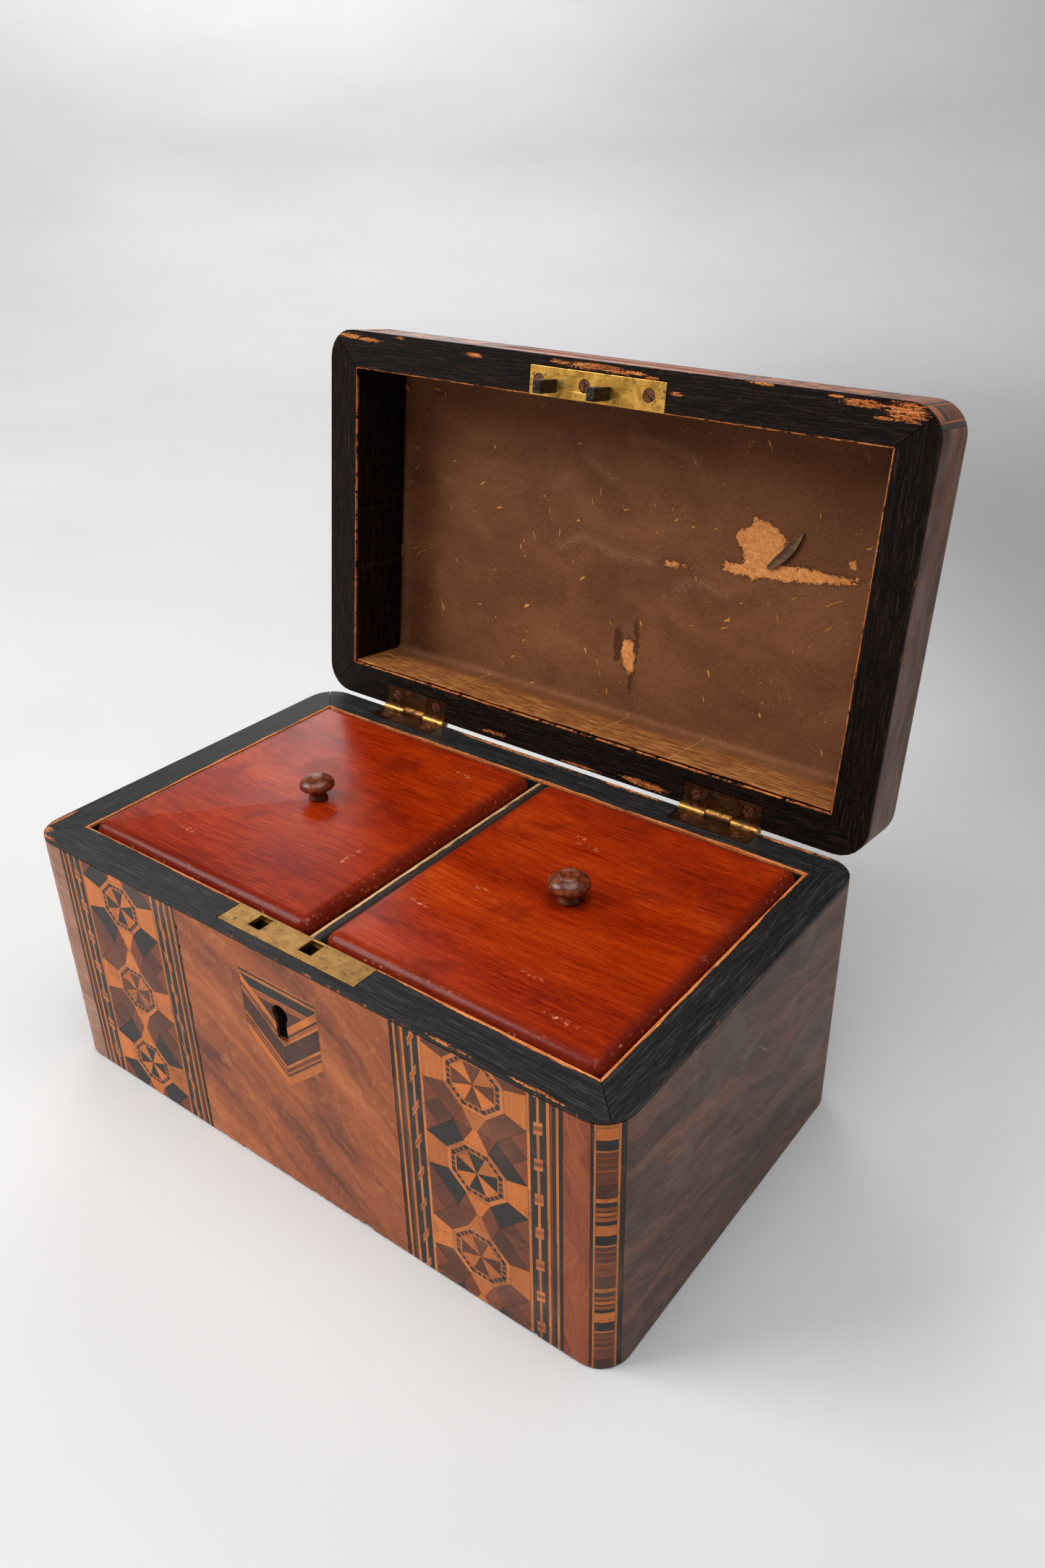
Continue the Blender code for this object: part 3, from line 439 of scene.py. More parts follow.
class Shade:
    """A node material that works in millimetres on the piece's own coordinates."""

    def __init__(self, name, on_lid=False):
        self.material = bpy.data.materials.new(name)
        self.material.use_nodes = True
        self.tree = self.material.node_tree
        self.tree.nodes.clear()
        place = self.add("ShaderNodeTexCoord", {}, "Object")
        if on_lid:
            turned = {"Vector": place, "Center": tuple(PIVOT), "Angle": OPEN_ANGLE}
            place = self.add("ShaderNodeVectorRotate", turned, rotation_type="X_AXIS")
        self.at = self.scaled(place, 1000, 1000, 1000)
        self.axes = None

    def add(self, kind, inputs, output=0, **settings):
        node = self.tree.nodes.new(kind)
        for key, value in settings.items():
            setattr(node, key, value)
        for key, value in inputs.items():
            if isinstance(value, bpy.types.NodeSocket):
                self.tree.links.new(value, node.inputs[key])
            else:
                node.inputs[key].default_value = value
        return node.outputs[output]

    def scaled(self, vector, x, y, z):
        return self.add(
            "ShaderNodeVectorMath", {0: vector, 1: (x, y, z)}, operation="MULTIPLY"
        )

    def moved(self, vector, other):
        return self.add("ShaderNodeVectorMath", {0: vector, 1: other}, operation="ADD")

    def xyz(self):
        if self.axes is None:
            self.add("ShaderNodeSeparateXYZ", {0: self.at})
            self.axes = list(self.tree.nodes[-1].outputs)
        return self.axes

    def join(self, x, y, z):
        return self.add("ShaderNodeCombineXYZ", {0: x, 1: y, 2: z})

    def noise(self, vector, scale, detail=3.0, rough=0.55, warp=0.0):
        inputs = {
            "Vector": vector,
            "Scale": scale,
            "Detail": detail,
            "Roughness": rough,
            "Distortion": warp,
        }
        return self.add("ShaderNodeTexNoise", inputs)

    def cell_edges(self, vector, scale):
        inputs = {"Vector": vector, "Scale": scale, "Randomness": 1.0}
        return self.add("ShaderNodeTexVoronoi", inputs, feature="DISTANCE_TO_EDGE")

    def streaks(self, x, y, z, detail=2.0, rough=0.55, warp=0.0):
        """Noise over three numbers, where (value, scale) stands for value times scale."""
        parts = [self.times(*part) if isinstance(part, tuple) else part for part in (x, y, z)]
        return self.noise(self.join(*parts), 1.0, detail, rough, warp)

    def math(self, what, a, b=0.0):
        return self.add("ShaderNodeMath", {0: a, 1: b}, operation=what)

    def times(self, a, b):
        return self.math("MULTIPLY", a, b)

    def plus(self, a, b):
        return self.math("ADD", a, b)

    def less(self, a, b):
        return self.math("SUBTRACT", a, b)

    def most(self, a, b):
        return self.math("MAXIMUM", a, b)

    def size(self, a):
        return self.math("ABSOLUTE", a)

    def sum(self, first, *others):
        """The sum of (value, weight) pairs."""
        total = self.times(*first)
        return self.plus(total, self.sum(*others)) if others else total

    def swing(self, value, weight):
        """A noise turned to swing about nought."""
        return self.times(self.less(value, 0.5), weight)

    def fade(self, value, low, high, to_low=0.0, to_high=1.0):
        """value mapped from low..high, smoothly and without going past the ends."""
        inputs = {0: value, 1: low, 2: high, 3: to_low, 4: to_high}
        return self.add("ShaderNodeMapRange", inputs, interpolation_type="SMOOTHSTEP")

    def tinted(self, colour, value, low, high, most, other):
        """The colour mixed towards another, up to most, as value goes from low to high."""
        return self.mix(self.fade(value, low, high, 0.0, most), colour, other)

    def mix(self, fraction, a, b, mode="MIX"):
        inputs = {0: fraction, 6: self.colour(a), 7: self.colour(b)}
        return self.add("ShaderNodeMix", inputs, 2, data_type="RGBA", blend_type=mode)

    def pick(self, fraction, a, b):
        return self.add("ShaderNodeMix", {0: fraction, 2: a, 3: b}, 0, data_type="FLOAT")

    def colour(self, value):
        if isinstance(value, bpy.types.NodeSocket):
            return value
        return (*linear(value), 1)

    def steps(self, value, *stops):
        """Colours placed along a value."""
        result = self.add("ShaderNodeValToRGB", {0: value})
        ramp = self.tree.nodes[-1].color_ramp
        while len(ramp.elements) < len(stops):
            ramp.elements.new(0.5)
        for element, (place, _) in zip(ramp.elements, stops):
            element.position = place
        for element, (_, colour) in zip(ramp.elements, stops):
            element.color = (*linear(colour), 1)
        return result

    def attribute(self, name, output):
        return self.add("ShaderNodeAttribute", {}, output, attribute_name=name)

    def bump(self, height, distance, strength):
        """Relief from a height of 0 to 1 that stands for distance millimetres."""
        inputs = {"Height": height, "Distance": distance * MM, "Strength": strength}
        return self.add("ShaderNodeBump", inputs)

    def finish(self, colour, roughness, normal, **constants):
        """The shader itself, with the constants set on its own sockets."""
        node = self.tree.nodes.new("ShaderNodeBsdfPrincipled")
        out = self.tree.nodes.new("ShaderNodeOutputMaterial")
        self.tree.links.new(node.outputs[0], out.inputs[0])
        self.tree.links.new(colour, node.inputs["Base Color"])
        self.tree.links.new(roughness, node.inputs["Roughness"])
        self.tree.links.new(normal, node.inputs["Normal"])
        for key, value in constants.items():
            socket = node.inputs[key.replace("_", " ")]
            if isinstance(value, bpy.types.NodeSocket):
                self.tree.links.new(value, socket)
            else:
                socket.default_value = value
        return self.material


def spots(shade, x, y, patches):
    """1 inside the patches (x, y, half length, half width), fading out over each one's edge."""
    total = None
    for px, py, long, wide in patches:
        dx = shade.times(shade.less(x, px), 1 / long)
        dy = shade.times(shade.less(y, py), 1 / wide)
        far = shade.plus(shade.times(dx, dx), shade.times(dy, dy))
        near = shade.fade(far, 0.0, 1.6, 1.0, 0.0)
        total = near if total is None else shade.most(total, near)
    return total


def finish_front(s, colour, rough, relief, on_lid, shine):
    """The front's woods, which are browner and shinier on the lid."""
    if on_lid:
        colour, shine = s.mix(0.45, colour, (60, 34, 24)), 0.7
    return s.finish(colour, rough, relief, Specular_IOR_Level=shine)


def marquetry(name, on_lid=False):
    """Small veneers, each with the tint and the grain direction stored on its points."""
    s = Shade(name, on_lid)
    grain = s.attribute("grain", "Vector")
    tint = s.attribute("tint", "Color")
    figure = s.attribute("tint", "Alpha")
    fibres = s.noise(s.scaled(grain, 0.10, 1.5, 1.0), 1.0, 4.0, 0.65, 0.3)
    pores = s.noise(s.scaled(grain, 0.45, 7.0, 1.0), 1.0, 2.0, 0.6)
    streak = s.sum((fibres, 0.75), (pores, 0.35))
    gain = s.plus(1.0, s.times(s.times(s.less(streak, 0.55), figure), 2.6))
    colour = s.mix(1.0, tint, s.join(gain, gain, gain), "MULTIPLY")
    dirt = s.noise(s.at, 0.06, 4.0, 0.6)
    colour = s.mix(s.fade(dirt, 0.52, 0.72, 0.0, 0.45), colour, (58, 36, 27))
    haze = s.noise(s.moved(s.at, (40, 7, 3)), 0.045, 3.0, 0.6)
    colour = s.tinted(colour, haze, 0.5, 0.7, 0.10, (206, 150, 118))
    crack = s.fade(s.cell_edges(s.at, 0.55), 0.0, 0.05, 1.0, 0.0)
    crack = s.times(crack, s.fade(dirt, 0.45, 0.6))
    colour = s.mix(s.times(crack, 0.55), colour, (25, 15, 11))
    specks = s.noise(s.at, 2.6, 2.0, 0.7)
    colour = s.tinted(colour, specks, 0.68, 0.74, 0.55, (30, 18, 13))
    rough = s.plus(0.36, s.times(fibres, 0.16))
    relief = s.plus(s.times(streak, 0.6), s.times(s.noise(s.at, 0.5, 3.0), 0.6))
    relief = s.less(relief, s.times(crack, 0.5))
    return finish_front(s, colour, rough, s.bump(relief, 0.035, 0.8), on_lid, 0.28)


def ground_walnut(name, on_lid=False):
    """Honey walnut: soft slanting figure, dark smudges, fine dark pores and scratches."""
    s = Shade(name, on_lid)
    x, y, z = s.xyz()
    up = s.plus(z, y) if on_lid else z
    slant = s.sum((x, 0.62), (up, 0.78))
    along = s.less(s.times(x, 0.78), s.times(up, 0.62))
    warp = s.noise(s.at, 0.03, 3.0, 0.55)
    bent = s.plus(slant, s.times(warp, 16.0))
    broad = s.streaks((along, 0.012), 0.0, (bent, 0.055), 3.0, 0.55)
    flame = s.streaks((along, 0.03), 2.0, (bent, 0.28), 4.0, 0.65, 0.5)
    fine = s.streaks((along, 0.3), 4.0, (bent, 0.9), 4.0, 0.7)
    value = s.sum((broad, 0.55), (flame, 0.28), (fine, 0.17))
    colour = s.steps(
        value,
        (0.36, (94, 42, 18)),
        (0.45, (138, 67, 30)),
        (0.54, (168, 86, 39)),
        (0.66, (198, 116, 62)),
    )
    smudge = s.streaks((along, 0.03), 8.0, (bent, 0.10), 4.0, 0.6, 0.4)
    colour = s.tinted(colour, smudge, 0.54, 0.70, 0.72, (84, 38, 20))
    if not on_lid:
        below_shield = spots(s, x, z, ((16.0, 26.0, 11.0, 22.0),))
        bruise = s.times(below_shield, s.fade(smudge, 0.36, 0.58))
        colour = s.mix(s.times(bruise, 0.55), colour, (78, 34, 20))
    mottle = s.noise(s.at, 0.22, 4.0, 0.65, 0.4)
    colour = s.tinted(colour, mottle, 0.52, 0.72, 0.30, (214, 138, 86))
    pores = s.streaks((along, 0.9), 1.0, (slant, 3.4), 2.0, 0.7)
    colour = s.tinted(colour, pores, 0.63, 0.70, 0.8, (62, 32, 20))
    dots = s.noise(s.moved(s.at, (9, 4, 1)), 1.5, 2.0, 0.75)
    colour = s.tinted(colour, dots, 0.66, 0.71, 0.8, (50, 28, 20))
    pale = s.noise(s.scaled(s.at, 0.8, 1.0, 2.4), 1.1, 3.0, 0.7)
    colour = s.tinted(colour, pale, 0.69, 0.76, 0.4, (236, 184, 140))
    line = s.join(s.times(s.plus(x, s.times(up, 0.35)), 0.03), 0.0, s.times(up, 2.6))
    scratch = s.fade(s.noise(line, 1.0, 2.0, 0.5), 0.715, 0.74)
    colour = s.mix(s.times(scratch, 0.45), colour, (228, 172, 128))
    rough = s.plus(0.34, s.times(mottle, 0.2))
    relief = s.sum((fine, 0.4), (pores, -0.4), (mottle, 0.8))
    return finish_front(s, colour, rough, s.bump(relief, 0.05, 0.8), on_lid, 0.3)


def plain_walnut(name, dark, mid, pale, on_lid=False, upright_grain=False, grey=0.3):
    """Straight-grained veneer with slanting figure, fine cracks and grey blooming that is partly the
    finish's own and partly a painted grey sheen.
    """
    s = Shade(name, on_lid)
    x, y, z = s.xyz()
    around = s.plus(x, y)
    along, across = (z, around) if upright_grain else (around, z)
    if on_lid:
        along, across = y, s.plus(x, z)
    warp = s.noise(s.at, 0.02, 3.0, 0.6)
    across = s.plus(across, s.sum((warp, 30.0), (along, 0.16)))
    broad = s.streaks((along, 0.012), (across, 0.13), 0.0, 4.0, 0.62, 0.5)
    fine = s.streaks((along, 0.06), (across, 1.3), 3.0, 4.0, 0.7, 0.3)
    pores = s.streaks((along, 0.35), (across, 6.5), 7.0, 2.0, 0.6)
    value = s.sum((broad, 0.55), (fine, 0.36), (pores, 0.16))
    colour = s.steps(value, (0.36, dark), (0.52, mid), (0.68, pale))
    # grey blooming: partly the finish's own, partly a painted sheen, mixed into the colour
    bloom_and_sheen = s.noise(s.scaled(s.at, 1.0, 1.0, 1.5), 0.05, 4.0, 0.65, 0.6)
    colour = s.tinted(colour, bloom_and_sheen, 0.45, 0.68, grey, (150, 138, 132))
    specks = s.noise(s.at, 1.3, 3.0, 0.75)
    colour = s.tinted(colour, specks, 0.66, 0.72, 0.6, (34, 24, 20))
    line = s.join(s.times(along, 0.02), s.times(across, 2.2), 11.0)
    scratch = s.fade(s.noise(line, 1.0, 2.0, 0.5), 0.70, 0.73)
    colour = s.mix(s.times(scratch, 0.5), colour, (196, 172, 158))
    rough = s.plus(0.34, s.times(bloom_and_sheen, 0.3))
    relief = s.sum((fine, 0.6), (pores, 0.35), (bloom_and_sheen, 0.8))
    return s.finish(colour, rough, s.bump(relief, 0.06, 0.8), Specular_IOR_Level=0.35)


def rim_wood(name, on_lid, patches, base_colours):
    """Black stained boards with mitred corners, worn to orange wood along the edges."""
    s = Shade(name, on_lid)
    x, y, z = s.xyz()
    ax, ay = s.size(x), s.size(y)
    past_x, past_y = s.less(ax, INNER_W), s.less(ay, INNER_D)
    sideways = s.math("GREATER_THAN", past_x, past_y)
    along = s.pick(sideways, x, y)
    across = s.pick(sideways, y, x)
    inner = s.most(past_x, past_y)
    outer = s.less(HALF_W - INNER_W, inner)
    level = LID_RIM if on_lid else RIM
    near_rim = s.fade(s.size(s.less(z, level)), 0.5, 1.1, 1.0, 0.0)
    warp = s.streaks((along, 0.03), (across, 0.12), z, 2.0)
    wavy = s.plus(across, s.times(warp, 2.4))
    fibres = s.streaks((along, 0.09), (wavy, 2.1), z, 4.0, 0.68, 0.3)
    fine = s.streaks((along, 0.5), (wavy, 7.0), z, 2.0, 0.6)
    grain = s.sum((fibres, 0.7), (fine, 0.35))
    colour = s.steps(
        grain, (0.36, base_colours[0]), (0.54, base_colours[1]), (0.70, base_colours[2])
    )
    jag = s.streaks((along, 0.22), (across, 0.8), 2.0, 5.0, 0.75)
    jag_fine = s.streaks((along, 1.1), (across, 2.4), 5.0, 3.0, 0.7)
    ragged = s.plus(s.swing(jag, 2.6), s.swing(jag_fine, 1.1))
    widest = 0.2 if on_lid else 1.0
    wide = s.fade(s.streaks((along, 0.02), 6.0, 3.0, 2.0), 0.4, 0.6, 0.1, widest)
    inner_line = s.fade(s.less(s.plus(inner, s.times(ragged, 0.55)), wide), 0.05, 0.32, 1.0, 0.0)
    if on_lid:
        inner_line = s.times(inner_line, s.fade(jag, 0.42, 0.5))
    broken = s.fade(jag, 0.58, 0.64)
    outer_line = s.times(s.fade(s.plus(outer, ragged), 0.30, 0.62, 1.0, 0.0), broken)
    streak = s.streaks((along, 0.16), (wavy, 1.5), 4.0, 5.0, 0.8)
    near = spots(s, x, y, patches)
    patch = s.plus(s.times(near, 1.25), s.plus(s.swing(streak, 6.5), s.swing(jag_fine, 3.0)))
    patch = s.times(s.fade(patch, 0.74, 0.98), s.fade(near, 0.02, 0.12))
    patch = s.times(patch, s.fade(s.plus(streak, s.swing(jag_fine, 0.5)), 0.38, 0.54, 0.25, 1.0))
    bare = s.most(s.most(inner_line, outer_line), patch)
    bare = s.times(bare, near_rim)
    bare_colour = s.steps(
        s.sum((fibres, 0.7), (jag_fine, 0.4)),
        (0.38, (112, 50, 22)),
        (0.52, (186, 98, 46)),
        (0.68, (228, 154, 90)),
    )
    colour = s.mix(bare, colour, bare_colour)
    flecks = s.streaks((along, 0.8), (across, 1.8), 9.0, 4.0, 0.8)
    colour = s.tinted(colour, flecks, 0.655, 0.71, 0.8, (168, 106, 66))
    rough = s.plus(s.times(bare, 0.14), s.plus(0.34, s.times(fibres, 0.22)))
    relief = s.less(s.plus(grain, s.times(jag, 0.4)), s.times(bare, 0.35))
    shine = 0.07 if on_lid else 0.22
    return s.finish(colour, rough, s.bump(relief, 0.22, 1.0), Specular_IOR_Level=shine)


def mahogany(name, node, scuffs):
    """Red polished wood with the grain along X and scuffs along its edges."""
    s = Shade(name)
    x, y, z = s.xyz()
    low, high = box(node)
    middle = [(a + b) / 2 for a, b in zip(low, high)]
    half = [(b - a) / 2 for a, b in zip(low, high)]
    warp = s.noise(s.at, 0.014, 2.0, 0.5)
    wavy = s.plus(y, s.times(warp, 9.0))
    broad = s.streaks((x, 0.010), (wavy, 0.045), 0.0, 3.0, 0.55, 0.2)
    fine = s.streaks((x, 0.06), (wavy, 1.1), 3.0, 4.0, 0.7, 0.3)
    pores = s.streaks((x, 0.30), (wavy, 6.0), 7.0, 2.0, 0.65)
    value = s.sum((broad, 0.40), (fine, 0.38), (pores, 0.27))
    colour = s.steps(
        value,
        (0.37, (78, 10, 2)),
        (0.46, (116, 23, 2)),
        (0.56, (148, 42, 5)),
        (0.67, (174, 68, 18)),
    )
    edge_x = s.less(half[0], s.size(s.less(x, middle[0])))
    edge_y = s.less(half[1], s.size(s.less(y, middle[1])))
    edge = s.math("MINIMUM", edge_x, edge_y)
    colour = s.mix(s.fade(edge, 1.0, 5.5, 0.75, 0.0), colour, (92, 24, 12))
    soil = s.noise(s.at, 0.05, 4.0, 0.6, 0.5)
    colour = s.tinted(colour, soil, 0.5, 0.7, 0.5, (84, 15, 5))
    jag = s.noise(s.at, 0.55, 5.0, 0.8)
    worn = s.times(s.fade(edge, 1.2, 3.4, 1.0, 0.0), s.fade(jag, 0.59, 0.68))
    rubs = tuple((middle[0] + dx, middle[1] + dy, a, b) for dx, dy, a, b in scuffs)
    rubbed = s.times(spots(s, x, y, rubs), s.fade(jag, 0.52, 0.6))
    worn = s.most(worn, rubbed)
    colour = s.mix(s.times(worn, 0.75), colour, (214, 140, 104))
    marks = s.noise(s.moved(s.at, (3, 8, 0)), 1.5, 3.0, 0.8)
    colour = s.tinted(colour, marks, 0.69, 0.75, 0.6, (226, 160, 124))
    rough = s.plus(s.plus(0.17, s.times(soil, 0.18)), s.times(worn, 0.2))
    relief = s.sum((fine, 0.4), (pores, 0.35), (soil, 1.6))
    return s.finish(colour, rough, s.bump(relief, 0.03, 0.8), Specular_IOR_Level=0.11)


def brass(name, pale, mid, dark, stain, tarnish=0.5, on_lid=False, rubbed_past=None):
    """Old sheet brass, brushed along X, with brown patches and bright rubbed spots."""
    s = Shade(name, on_lid)
    x, y, z = s.xyz()
    brush = s.streaks((x, 0.12), (y, 5.0), z, 3.0, 0.65)
    cloud = s.noise(s.at, 0.22, 4.0, 0.65, 0.6)
    blotch = s.noise(s.moved(s.at, (13, 3, 8)), 0.42, 5.0, 0.72)
    value = s.sum((cloud, 0.6), (brush, 0.4))
    colour = s.steps(value, (0.34, dark), (0.52, mid), (0.70, pale))
    dull = s.fade(blotch, 0.60 - 0.16 * tarnish, 0.70 - 0.1 * tarnish)
    if rubbed_past is not None:
        rubbed = s.times(s.fade(y, rubbed_past, rubbed_past + 0.4), s.fade(cloud, 0.36, 0.5))
        colour = s.mix(s.times(rubbed, 0.85), colour, (222, 166, 84))
        dull = s.times(dull, s.less(1.0, s.times(rubbed, 0.8)))
    colour = s.mix(s.times(dull, 0.85), colour, stain)
    pits = s.fade(s.noise(s.at, 2.2, 3.0, 0.75), 0.66, 0.73)
    colour = s.mix(s.times(pits, 0.85), colour, (44, 30, 18))
    rough = s.plus(s.plus(0.28, s.times(cloud, 0.22)), s.times(dull, 0.22))
    metal = s.less(0.95, s.times(dull, 0.45))
    relief = s.plus(s.sum((brush, 0.5), (cloud, 0.7)), s.times(pits, -0.6))
    return s.finish(colour, rough, s.bump(relief, 0.03, 0.7), Metallic=metal)


def iron(name, pale, mid, dark, rust, on_lid=False):
    """Dark iron with rust in blotches."""
    s = Shade(name, on_lid)
    cloud = s.noise(s.at, 0.9, 4.0, 0.7, 0.5)
    colour = s.steps(cloud, (0.36, dark), (0.52, mid), (0.68, pale))
    spots_of_rust = s.fade(s.noise(s.moved(s.at, (5, 2, 9)), 1.4, 4.0, 0.75), 0.5, 0.62)
    colour = s.mix(s.times(spots_of_rust, 0.75), colour, rust)
    rough = s.plus(0.34, s.times(spots_of_rust, 0.3))
    metal = s.less(0.9, s.times(spots_of_rust, 0.5))
    return s.finish(colour, rough, s.bump(cloud, 0.05, 0.7), Metallic=metal)


def lining_paper(name):
    """Brown paper with creases, stains and torn patches that bare the board, and painted highlights along
    the creases.
    """
    s = Shade(name, True)
    x, y, z = s.xyz()
    torn = s.attribute("torn", "Fac")
    stain = s.attribute("stain", "Fac")
    scuffed = s.attribute("scuffed", "Fac")
    ragged = s.noise(s.at, 0.45, 5.0, 0.75)
    ragged_fine = s.noise(s.at, 1.8, 3.0, 0.7)
    push = s.plus(s.swing(ragged, 5.0), s.swing(ragged_fine, 1.6))
    cloud = s.noise(s.scaled(s.at, 0.7, 1.0, 1.0), 0.045, 5.0, 0.6, 0.5)
    fibre = s.noise(s.scaled(s.at, 0.6, 1.5, 1.0), 1.6, 4.0, 0.75)
    value = s.sum((cloud, 0.62), (fibre, 0.38))
    colour = s.steps(
        value,
        (0.36, (96, 58, 34)),
        (0.48, (110, 68, 41)),
        (0.56, (119, 76, 47)),
        (0.68, (132, 89, 58)),
    )
    creased = s.attribute("creased", "Fac")
    # painted highlight: the paper made lighter along its creases
    crease_highlight = s.times(creased, s.fade(fibre, 0.38, 0.58))
    colour = s.mix(s.times(crease_highlight, 0.40), colour, (150, 114, 84))
    colour = s.tinted(colour, fibre, 0.56, 0.66, 0.35, (140, 98, 66))
    colour = s.mix(s.fade(fibre, 0.34, 0.44, 0.40, 0.0), colour, (76, 44, 26))
    grime = s.fade(s.plus(stain, s.times(push, 0.9)), -0.2, 0.2, 1.0, 0.0)
    colour = s.mix(s.times(grime, 0.7), colour, (56, 28, 14))
    streaky = s.streaks((x, 0.10), (z, 1.4), 0.0, 5.0, 0.75, 0.3)
    scuff = s.fade(s.plus(scuffed, s.swing(streaky, 18.0)), -1.0, 3.0, 1.0, 0.0)
    scuff_colour = s.steps(
        streaky,
        (0.36, (84, 44, 18)),
        (0.50, (128, 74, 34)),
        (0.62, (188, 128, 66)),
        (0.70, (216, 162, 92)),
    )
    colour = s.mix(s.times(scuff, 0.85), colour, scuff_colour)
    for lean, seed in ((1.2, 3.0), (-0.5, 9.0)):
        u = s.plus(s.times(x, math.cos(lean)), s.times(y, math.sin(lean)))
        v = s.less(s.times(y, math.cos(lean)), s.times(x, math.sin(lean)))
        hair = s.streaks((u, 0.16), (v, 0.75), seed, 1.0, 0.5, 0.8)
        on_ceiling = s.fade(s.size(y), 57.0, 58.5, 1.0, 0.0)
        loose = s.times(s.fade(hair, 0.765, 0.78), on_ceiling)
        colour = s.mix(loose, colour, (206, 150, 76))
    specks = s.fade(s.noise(s.moved(s.at, (2, 6, 1)), 1.3, 3.0, 0.85), 0.72, 0.75)
    colour = s.mix(specks, colour, (190, 132, 76))
    bare = s.fade(s.plus(torn, push), -0.15, 0.15, 1.0, 0.0)
    lip = s.times(s.fade(s.size(s.plus(torn, push)), 0.15, 0.8, 1.0, 0.0), 0.75)
    colour = s.mix(lip, colour, (58, 32, 18))
    board = s.noise(s.scaled(s.at, 0.6, 1.0, 1.0), 0.7, 5.0, 0.75)
    board_colour = s.steps(
        s.sum((board, 0.6), (ragged_fine, 0.4)),
        (0.36, (170, 98, 48)),
        (0.50, (214, 140, 78)),
        (0.66, (234, 176, 116)),
    )
    colour = s.mix(bare, colour, board_colour)
    rough = s.plus(0.58, s.times(cloud, 0.2))
    relief = s.sum((cloud, 0.9), (fibre, 0.35))
    relief = s.less(relief, s.times(bare, 0.8))
    return s.finish(colour, rough, s.bump(relief, 0.22, 0.9), Specular_IOR_Level=0.12)


def turned_wood(name):
    """Dark turned wood with a rubbed red-brown shine."""
    s = Shade(name)
    cloud = s.noise(s.at, 0.5, 4.0, 0.65, 0.5)
    fine = s.noise(s.scaled(s.at, 3.2, 3.2, 1.2), 1.0, 3.0, 0.7)
    value = s.sum((cloud, 0.6), (fine, 0.4))
    colour = s.steps(value, (0.38, (54, 18, 9)), (0.52, (104, 44, 20)), (0.66, (158, 84, 42)))
    specks = s.fade(s.noise(s.at, 2.4, 3.0, 0.8), 0.66, 0.72)
    colour = s.mix(s.times(specks, 0.7), colour, (206, 170, 150))
    rough = s.plus(0.2, s.times(cloud, 0.18))
    return s.finish(colour, rough, s.bump(value, 0.05, 0.7), Specular_IOR_Level=0.35)


def bare_wood(name, pale, mid, dark, on_lid=False):
    """Unfinished softwood with grain along X and handling dirt."""
    s = Shade(name, on_lid)
    x, y, z = s.xyz()
    broad = s.streaks((x, 0.015), (y, 0.35), (z, 0.35), 4.0, 0.6, 0.5)
    fine = s.streaks((x, 0.2), (y, 3.0), (z, 3.0), 3.0, 0.65)
    value = s.sum((broad, 0.65), (fine, 0.35))
    colour = s.steps(value, (0.36, dark), (0.52, mid), (0.68, pale))
    soil = s.noise(s.at, 0.06, 4.0, 0.65)
    colour = s.tinted(colour, soil, 0.5, 0.7, 0.5, (74, 48, 32))
    rough = s.plus(0.6, s.times(fine, 0.2))
    return s.finish(colour, rough, s.bump(value, 0.12, 0.8))


def tin_foil(name):
    """Dull crumpled tin foil."""
    s = Shade(name)
    crumple = s.noise(s.at, 0.5, 5.0, 0.7, 0.8)
    colour = s.steps(crumple, (0.36, (96, 94, 92)), (0.54, (140, 139, 138)), (0.70, (184, 184, 186)))
    stain = s.fade(s.noise(s.at, 0.07, 4.0, 0.6), 0.52, 0.68)
    colour = s.mix(s.times(stain, 0.6), colour, (92, 78, 62))
    rough = s.plus(0.32, s.times(stain, 0.3))
    return s.finish(colour, rough, s.bump(crumple, 0.25, 0.9), Metallic=0.85)


def floor_paint():
    """Pale seamless studio paper with a trace of unevenness, and a painted shadow that darkens it towards
    grey to the right of the case and behind it.
    """
    s = Shade("studio_paper")
    cloud = s.noise(s.at, 0.004, 3.0, 0.5)
    colour = s.steps(cloud, (0.3, (203, 203, 203)), (0.7, (209, 209, 209)))
    x, y, _ = s.xyz()
    cosine, sine = 0.803, 0.596
    rightward = s.sum((x, cosine), (y, sine))
    away = s.less(s.times(y, cosine), s.times(x, sine))
    # painted shadow: the floor mixed towards grey to the right of the case and behind it, fading out
    # further away
    shade = s.times(s.fade(rightward, 60.0, 380.0), s.fade(away, 0.0, 220.0))
    shade = s.times(shade, s.fade(away, 500.0, 1500.0, 1.0, 0.1))
    colour = s.mix(s.times(shade, 0.68), colour, (116, 116, 116))
    rough = s.plus(0.8, s.times(cloud, 0.1))
    return s.finish(colour, rough, s.bump(s.noise(s.at, 0.6, 2.0), 0.02, 0.3))


# ---------------------------------------------------------------- marquetry designs

BAND_CENTRE = (BAND_IN + BAND_OUT) / 2
FIELD = 16.7
CHAIN_AT = 3.5
CHAIN_PITCH = 12.0
RING_SIZES = (1.0, 0.865, 0.74, 0.6875)


OCTAGON = 0.414
WEDGE = 5.85


def between(a, b, s):
    """The point that lies at s of the way from a to b."""
    return (a[0] + s * (b[0] - a[0]), a[1] + s * (b[1] - a[1]))


def octagon(v0, hx, hy, size):
    """Corners of an octagon round (0, v0), hx and hy from middle to side."""
    hx, hy, k = hx * size, hy * size, OCTAGON
    turns = ((1, -k), (1, k), (k, 1), (-k, 1), (-1, k), (-1, -k), (-k, -1), (k, -1))
    return [(hx * a, v0 + hy * b) for a, b in turns]


